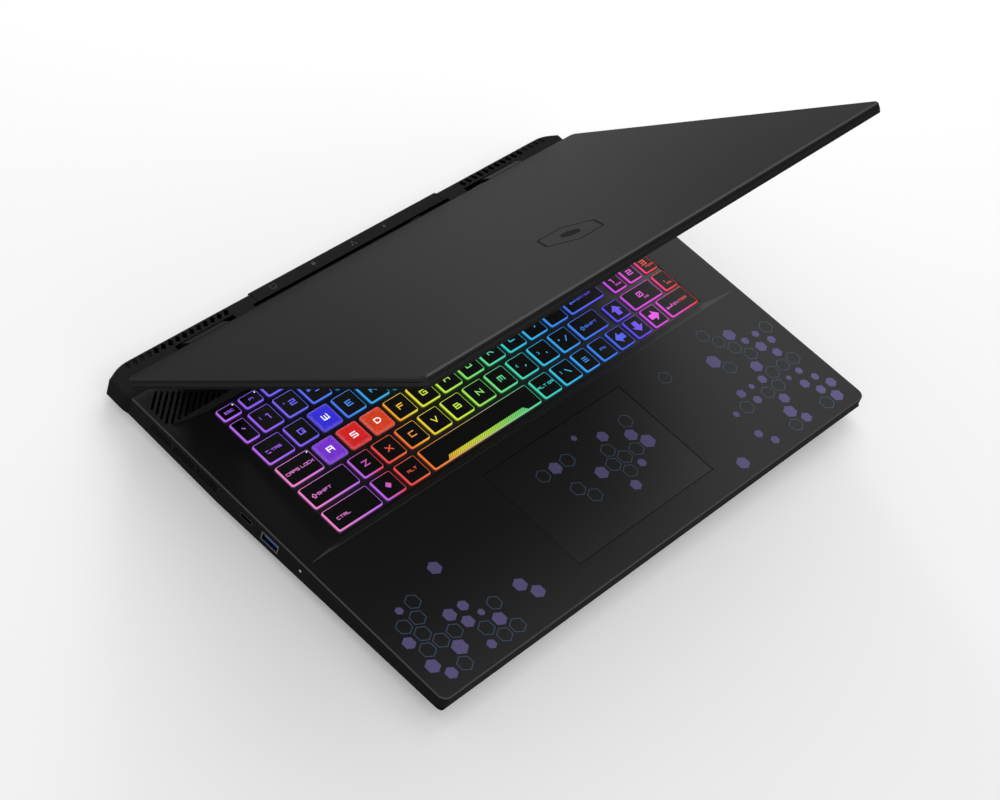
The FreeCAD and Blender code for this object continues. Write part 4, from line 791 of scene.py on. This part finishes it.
# Printed honeycomb on the palm rest, dense at the outer corners and thinning towards the touchpad
prints = {
    "pitch": 10.6, "cell": 5.4, "line": 0.6, "lift": 0.03, "seed": 11,
    # rows and columns on each side of the grid's middle, the middle's y, and the least distance to a bound
    "rows": 20, "columns": 30, "middleY": -100, "margin": 4,
    # how fast a patch thins out, the share of filled cells, and the smallest copies
    "thinning": 1.3, "filledShare": 0.5,
    "smallestPalmCell": 0.35, "smallestPadCell": 0.3, "smallestRing": 0.9,
    # corner, reach along x and y, and how full the corner is
    "patches": [((-180, -134), (128, 92), 1.0), ((187, -110), (132, 112), 1.0)],
    "padPatch": ((14, -76), (62, 46), 0.75),
    # from and to along x, then along y
    "palmBounds": [(-187.5, -63.0, -135.0, -33.0), (62.0, 187.5, -135.0, -33.0)],
    "padBounds": [(-58.0, 56.0, -116.0, -45.0)],
}


def hexCells(corner, reach, fullness, bounds, dice):
    # cells of a hexagon grid, kept by a throw of the dice that gets harder away from the corner
    filled, outlined = [], []
    pitch, margin = prints["pitch"], prints["margin"]
    for row in range(-prints["rows"], prints["rows"] + 1):
        for column in range(-prints["columns"], prints["columns"] + 1):
            x, y = (column + row % 2 / 2) * pitch, row * pitch * math.sqrt(3) / 2 + prints["middleY"]
            away = math.hypot((x - corner[0]) / reach[0], (y - corner[1]) / reach[1])
            chance, kind = dice.random(), dice.random()
            inside = any(a + margin < x < b - margin and c + margin < y < d - margin for a, b, c, d in bounds)
            if inside and away < 1 and chance < fullness * (1 - away) ** prints["thinning"]:
                (filled if kind < prints["filledShare"] else outlined).append((x, y))
    return filled, outlined


def hexTemplate(name, outer, inner):
    angles = [math.radians(60 * i + 30) for i in range(6)]
    verts = [(radius * mm * math.cos(angle), radius * mm * math.sin(angle), 0)
             for radius in (outer, inner) if radius for angle in angles]
    faces = ringFaces(0, 6, 6) if inner else [tuple(range(6))]
    return plate(name, verts, faces, (0, 0, 2 * prints["lift"] * mm))


dice = random.Random(prints["seed"])
cell = hexTemplate("cell", prints["cell"], 0)
ring = hexTemplate("ring", prints["cell"], prints["cell"] - prints["line"])
palmFilled, palmOutlined = [], []
for corner, reach, fullness in prints["patches"]:
    filled, outlined = hexCells(corner, reach, fullness, prints["palmBounds"], dice)
    palmFilled += filled
    palmOutlined += outlined
padFilled, padOutlined = hexCells(*prints["padPatch"], prints["padBounds"], dice)
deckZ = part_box("top_case")[1][2] + prints["lift"] * mm
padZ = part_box("touchpad")[1][2] + prints["lift"] * mm
for name, spots, z, shape, ink, smallest, body, slot in [
        ("palmCells", palmFilled, deckZ, cell, lavenderInk, "smallestPalmCell", "base", "black_case_plastic"),
        ("palmRings", palmOutlined, deckZ, ring, slateInk, "smallestRing", "base", "black_case_plastic"),
        ("padCells", padFilled, padZ, cell, lavenderInk, "smallestPadCell", "touchpad", "touchpad_surface"),
        ("padRings", padOutlined, padZ, ring, slateInk, "smallestRing", "touchpad", "touchpad_surface")]:
    points = [(x * mm, y * mm, z) for x, y in spots]
    setOut(setOutCopies(name, points, shape, ink, prints[smallest], prints["seed"]), body)
bpy.data.objects.remove(cell)
bpy.data.objects.remove(ring)
print("prints done:", len(palmFilled) + len(palmOutlined), "cells on the palm rest")

# Lid badge: a plain six-sided ring of enamel with a small middle; each hexagon has a radius and a corner
badge = {"middle": (0.0, -184.0), "lift": 0.03, "steps": 5,
         "hexagons": [(20.0, 3.0), (18.5, 2.0), (6.5, 1.2)]}


def roundedHexagon(radius, corner):
    points = []
    for angle in range(0, 360, 60):
        turns = [math.radians(angle - 30 + 60 * i / badge["steps"]) for i in range(badge["steps"] + 1)]
        x, y = [(radius - corner) * f(math.radians(angle)) for f in (math.cos, math.sin)]
        points += [(x + corner * math.cos(turn), y + corner * math.sin(turn)) for turn in turns]
    return points


height = lid["thickness"] + badge["lift"]
verts = [lidTurn @ (Vector((badge["middle"][0] + x, badge["middle"][1] + y, height)) * mm)
         for radius, corner in badge["hexagons"] for x, y in roundedHexagon(radius, corner)]
count = len(verts) // len(badge["hexagons"])
faces = ringFaces(0, count, count) + [tuple(range(2 * count, 3 * count))]
lidBadge = plate("lidBadge", verts, faces, lidFace * 2 * badge["lift"] * mm, [badgeEnamel])
setOut(lidBadge, "lid")

# Camera lens: a turned profile of radius and depth under the face of the screen frame
lens = {"y": -257.6, "steps": 24,
        "profile": [(1.46, 0.34), (1.46, 0.12), (1.22, 0.07), (1.02, 0.22), (0.74, 0.12), (0.36, 0.06)]}
steps = lens["steps"]
verts = [lidTurn @ (Vector((x, lens["y"] + y, z)) * mm)
         for radius, z in lens["profile"] for x, y in discShape(radius, steps)]
faces = [tuple(range(steps)), tuple(reversed(range(len(verts) - steps, len(verts))))]
for start in range(steps, len(verts), steps):
    faces += ringFaces(start, start - steps, steps)
setOut(newPiece("cameraLens", meshOf("cameraLens", verts, faces), [screenGlass]), "lid")

# Solid dark screen behind the exhaust slots: painted shade, put where the hinge windows would show daylight
shadeSheet = {"from": 100.0, "to": 148.0, "behind": 3.1, "low": 7.6, "high": 12.0, "thick": 0.3, "edge": 0.05}
for word, side in sides:
    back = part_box("rear_vent_bezel")[1][1] - shadeSheet["behind"] * mm
    ends = sorted((side * shadeSheet["from"] * mm, side * shadeSheet["to"] * mm))
    screen = roundedBox(word + "DustMesh", (ends[0], back - shadeSheet["thick"] * mm, shadeSheet["low"] * mm),
                        (ends[1], back, shadeSheet["high"] * mm), shadeSheet["edge"] * mm, [mouldedNylon])
    setOut(screen, "base")

# Zigzag ribs in the slots of the side grilles
ribs = {"middles": (49.5, 68.5, 87.5), "rows": (11.95, 13.75, 15.55), "length": 16.9, "rise": 0.36,
        "half": 0.17, "turns": 10, "inset": 0.25, "deep": 1.2}
bends = [(ribs["length"] * (i / ribs["turns"] - 0.5), ribs["rise"] * (-1) ** i)
         for i in range(ribs["turns"] + 1)]
ribVerts, ribFaces = ribbon(bends, ribs["half"])
for word, side in sides:
    verts = [(side * -ribs["inset"] * mm, side * v.x * mm, v.y * mm) for v in ribVerts]
    rib = plate("rib", verts, ribFaces, (side * ribs["deep"] * mm, 0, 0))
    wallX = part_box("top_case")[0 if side < 0 else 1][0]
    spots = [(wallX, y * mm, z * mm) for y in ribs["middles"] for z in ribs["rows"]]
    setOut(setOutCopies(word + "GrilleRibs", spots, rib, hingePlastic), "base")
    bpy.data.objects.remove(rib)

# Signs of the rear sockets on the shelf: a screen, a plug, a lead and a spark
shelf = {"y": 134.2, "lift": 0.03,
         "places": [(-63.6, "screen"), (-29.8, "plug"), (3.5, "lead"), (30.7, "spark")],
         "screenFrame": [(2.05, -1.05), (2.05, 1.35), (-2.05, 1.35), (-2.05, -1.05)], "frameHalf": 0.15}


def bars(*boxes):
    # rectangles, each from its left and bottom to its right and top
    return [[(left, low), (right, low), (right, high), (left, high)] for left, low, right, high in boxes]


shelfSigns = {
    "screen": bars((-0.9, -2.0, 0.9, -1.7)),
    "plug": bars((-1.4, -0.2, 1.4, 1.3), (-0.9, 1.3, -0.5, 2.2), (0.5, 1.3, 0.9, 2.2),
                 (-0.2, -1.8, 0.2, -0.2)),
    "lead": bars((-2.0, -1.8, -0.8, -0.8), (0.8, -1.8, 2.0, -0.8), (-0.6, 0.8, 0.6, 1.8),
                 (-1.5, -0.2, 1.5, 0.1), (-0.15, 0.1, 0.15, 0.8)),
    "spark": [[(0.4, 2.0), (-1.2, -0.3), (-0.1, -0.3), (-0.5, -2.0), (1.2, 0.5), (0.1, 0.5)]],
}
verts, faces = [], []
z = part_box("rear_vent_bezel")[1][2] + shelf["lift"] * mm
for x, sign in shelf["places"]:
    shapes = [signShape(shelfSigns[sign])]
    if sign == "screen":
        shapes.append(outlineShape(shelf["screenFrame"], shelf["frameHalf"]))
    for signVerts, signFaces in shapes:
        placed = [((x + vx) * mm, (shelf["y"] + vy) * mm, z) for vx, vy in signVerts]
        addShape(verts, faces, placed, signFaces)
shelfPrint = plate("shelfSigns", verts, faces, (0, 0, 2 * shelf["lift"] * mm), [signInk])
setOut(shelfPrint, "base")

# Socket insides: a blue sleeve on the tongue of each wide socket, with four contact strips under it
sockets = {"width": 10.416, "tongue": 1.8, "skin": 0.06, "start": 1.4, "end": 13.4, "edge": 0.25,
           "strip": (5.0, 1.2, 0.1), "stripEdge": 0.03, "stripPitch": 2.5, "stripBack": 3.5}
for word, side in sides:
    low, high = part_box(word + "_usb_a_port")
    mouth = low[0] if side < 0 else high[0]
    y, z = (low[1] + high[1]) / 2, (low[2] + high[2]) / 2
    half, thick = [(sockets[size] / 2 + sockets["skin"]) * mm for size in ("width", "tongue")]
    near, far = [mouth - side * sockets[end] * mm for end in ("start", "end")]
    sleeve = roundedBox(word + "Tongue", (min(near, far), y - half, z - thick),
                        (max(near, far), y + half, z + thick), sockets["edge"] * mm, [blueNylon])
    setOut(sleeve, "base")
    length, wide, deep = [c * mm for c in sockets["strip"]]
    contact = roundedBox("contact", (-length / 2, -wide / 2, -deep), (length / 2, wide / 2, deep / 2),
                         sockets["stripEdge"] * mm)
    spots = [(near - side * sockets["stripBack"] * mm, y + step * sockets["stripPitch"] * mm, z - thick)
             for step in (-1.5, -0.5, 0.5, 1.5)]
    setOut(setOutCopies(word + "Contacts", spots, contact, goldFlash), "base")
    bpy.data.objects.remove(contact)

# Network socket: eight sprung wires
wires = {"count": 8, "pitch": 1.02, "size": (9.0, 0.5, 0.4), "edge": 0.08, "inset": 6.5, "below": 1.9}
low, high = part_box("network_port")
halfWire = Vector(wires["size"]) / 2 * mm
wire = roundedBox("wire", -halfWire, halfWire, wires["edge"] * mm)
firstY = (low[1] + high[1]) / 2 - (wires["count"] - 1) / 2 * wires["pitch"] * mm
spots = [(high[0] - wires["inset"] * mm, firstY + i * wires["pitch"] * mm, high[2] - wires["below"] * mm)
         for i in range(wires["count"])]
setOut(setOutCopies("networkWires", spots, wire, goldFlash), "base")
bpy.data.objects.remove(wire)

# Bottom screws: pan heads with a cross recess, seen from below
screws = {"head": 2.6, "headHeight": 0.9, "shank": 1.2, "edge": 0.25, "tip": 0.4, "arm": 1.35, "armHalf": 0.3,
          "crossDepth": 0.55, "crossTaper": 0.8, "steps": 24}


def screwTemplate(length):
    head, shank, under = screws["head"], screws["shank"], screws["headHeight"]
    arm, half, taper = screws["arm"], screws["armHalf"], screws["crossTaper"]
    rings = [(head - screws["edge"], 0.0), (head, screws["edge"]), (head, under), (shank, under),
             (shank, length - screws["tip"]), (shank - screws["tip"], length)]
    quarter, cross = [(arm, -half), (arm, half), (half, half)], []
    for turn in range(4):
        cross += quarter
        quarter = [(-y, x) for x, y in quarter]
    work = bmesh.new()

    def loopOf(points, z):
        return [work.verts.new((x * mm, y * mm, z * mm)) for x, y in points]

    def band(first, second):
        for i in range(len(first)):
            work.faces.new((first[i - 1], first[i], second[i], second[i - 1]))

    loops = [loopOf(discShape(radius, screws["steps"]), z) for radius, z in rings]
    for first, second in zip(loops, loops[1:]):
        band(first, second)
    work.faces.new(loops[-1])
    upper = loopOf(cross, 0)
    lower = loopOf([(x * taper, y * taper) for x, y in cross], screws["crossDepth"])
    band(upper, lower)
    work.faces.new(lower)
    rim = [work.edges.get((loop[i - 1], loop[i])) for loop in (loops[0], upper) for i in range(len(loop))]
    bmesh.ops.triangle_fill(work, use_beauty=True, edges=rim)
    return pieceFrom(work, "screw")


boxes = islands("bottom_screws")
screw = screwTemplate((boxes[0][1][2] - boxes[0][0][2]) / mm)
spots = [((low[0] + high[0]) / 2, (low[1] + high[1]) / 2, low[2]) for low, high in boxes]
heads = setOutCopies("coverScrews", spots, screw, blackSteel)
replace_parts(setOut(heads, "base"), "bottom_screws")
bpy.data.objects.remove(screw)
print("badge, signs, sockets and", len(spots), "screws done")

# Stage, light and camera, in metres
studio = {
    "floorSize": 8.0, "floorZ": -0.0005, "floorColour": "#e6e6e6", "floorLift": 0.2, "worldLight": 0.62,
    # place, what the lamp looks at, width and height of its face, and power
    "lamps": [("keyLamp", (0.9, 0.7, 1.4), (0, 0, 0.05), (1.4, 1.4), 10.0),
              ("rearLamp", (0.8, 1.24, 0.06), (0, 0, 0.11), (0.3, 0.1), 31.0),
              ("fillLamp", (-0.9, -1.2, 1.5), (0, 0, 0.05), (1.6, 1.6), 5.0)],
}
half = studio["floorSize"] / 2
corners = [(-half, -half, 0), (half, -half, 0), (half, half, 0), (-half, half, 0)]
# Matte paper: shown a little whiter than its light alone would leave it, so that it reads as white
floorPaper, tree, principled = newMaterial("studioPaper", {
    "Base Color": hexColour(studio["floorColour"]), "Roughness": 0.9, gloss: 0.1,
    "Emission Color": (1, 1, 1, 1)})
path = addNode(tree, "ShaderNodeLightPath").outputs
seen = path["Is Camera Ray"]
for ray in ("Is Glossy Ray", "Is Transmission Ray"):
    seen = addNode(tree, "ShaderNodeMath", {"operation": "MAXIMUM"}, {0: seen, 1: path[ray]}).outputs[0]
lift = addNode(tree, "ShaderNodeMath", {"operation": "MULTIPLY"}, {0: seen, 1: studio["floorLift"]})
tree.links.new(lift.outputs[0], principled.inputs["Emission Strength"])
floor = newPiece("floor", meshOf("floor", corners, [(0, 1, 2, 3)]), [floorPaper])
floor.location.z = studio["floorZ"]

world = bpy.data.worlds.new("studio")
world.use_nodes = True
scene.world = world
tree = world.node_tree
tree.nodes.clear()
sky = addNode(tree, "ShaderNodeBackground", None, {"Color": (1, 1, 1, 1), "Strength": studio["worldLight"]})
addNode(tree, "ShaderNodeOutputWorld", None, {"Surface": sky.outputs[0]})

for name, place, aim, size, power in studio["lamps"]:
    lamp = bpy.data.lights.new(name, "AREA")
    lamp.shape = "RECTANGLE"
    lamp.size, lamp.size_y = size
    lamp.energy = power
    holder = bpy.data.objects.new(name, lamp)
    holder.location = place
    holder.rotation_euler = (Vector(aim) - Vector(place)).to_track_quat("-Z", "Y").to_euler()
    holder.visible_camera = False
    scene.collection.objects.link(holder)

# Camera of the photograph: place, the directions of its right, down and view, and its lens on a film in mm
shot = {
    "place": (-0.896858, -0.486180, 1.063840),
    "right": (0.66923066, -0.70091167, 0.24668433),
    "down": (-0.42314899, -0.63238995, -0.64886661),
    "view": (0.61079887, 0.3298572, -0.71980481),
    "lens": 88.754, "film": 36, "nearest": 0.05,
}
camera = bpy.data.cameras.new("camera")
camera.sensor_fit = "HORIZONTAL"
camera.sensor_width = shot["film"]
camera.lens = shot["lens"]
camera.clip_start = shot["nearest"]
eye = bpy.data.objects.new("camera", camera)
turn = Matrix((shot["right"], [-c for c in shot["down"]], [-c for c in shot["view"]])).transposed()
eye.matrix_world = Matrix.Translation(shot["place"]) @ turn.to_4x4()
scene.collection.objects.link(eye)
scene.camera = eye
scene.view_settings.view_transform = "Standard"
print("stage and camera set")
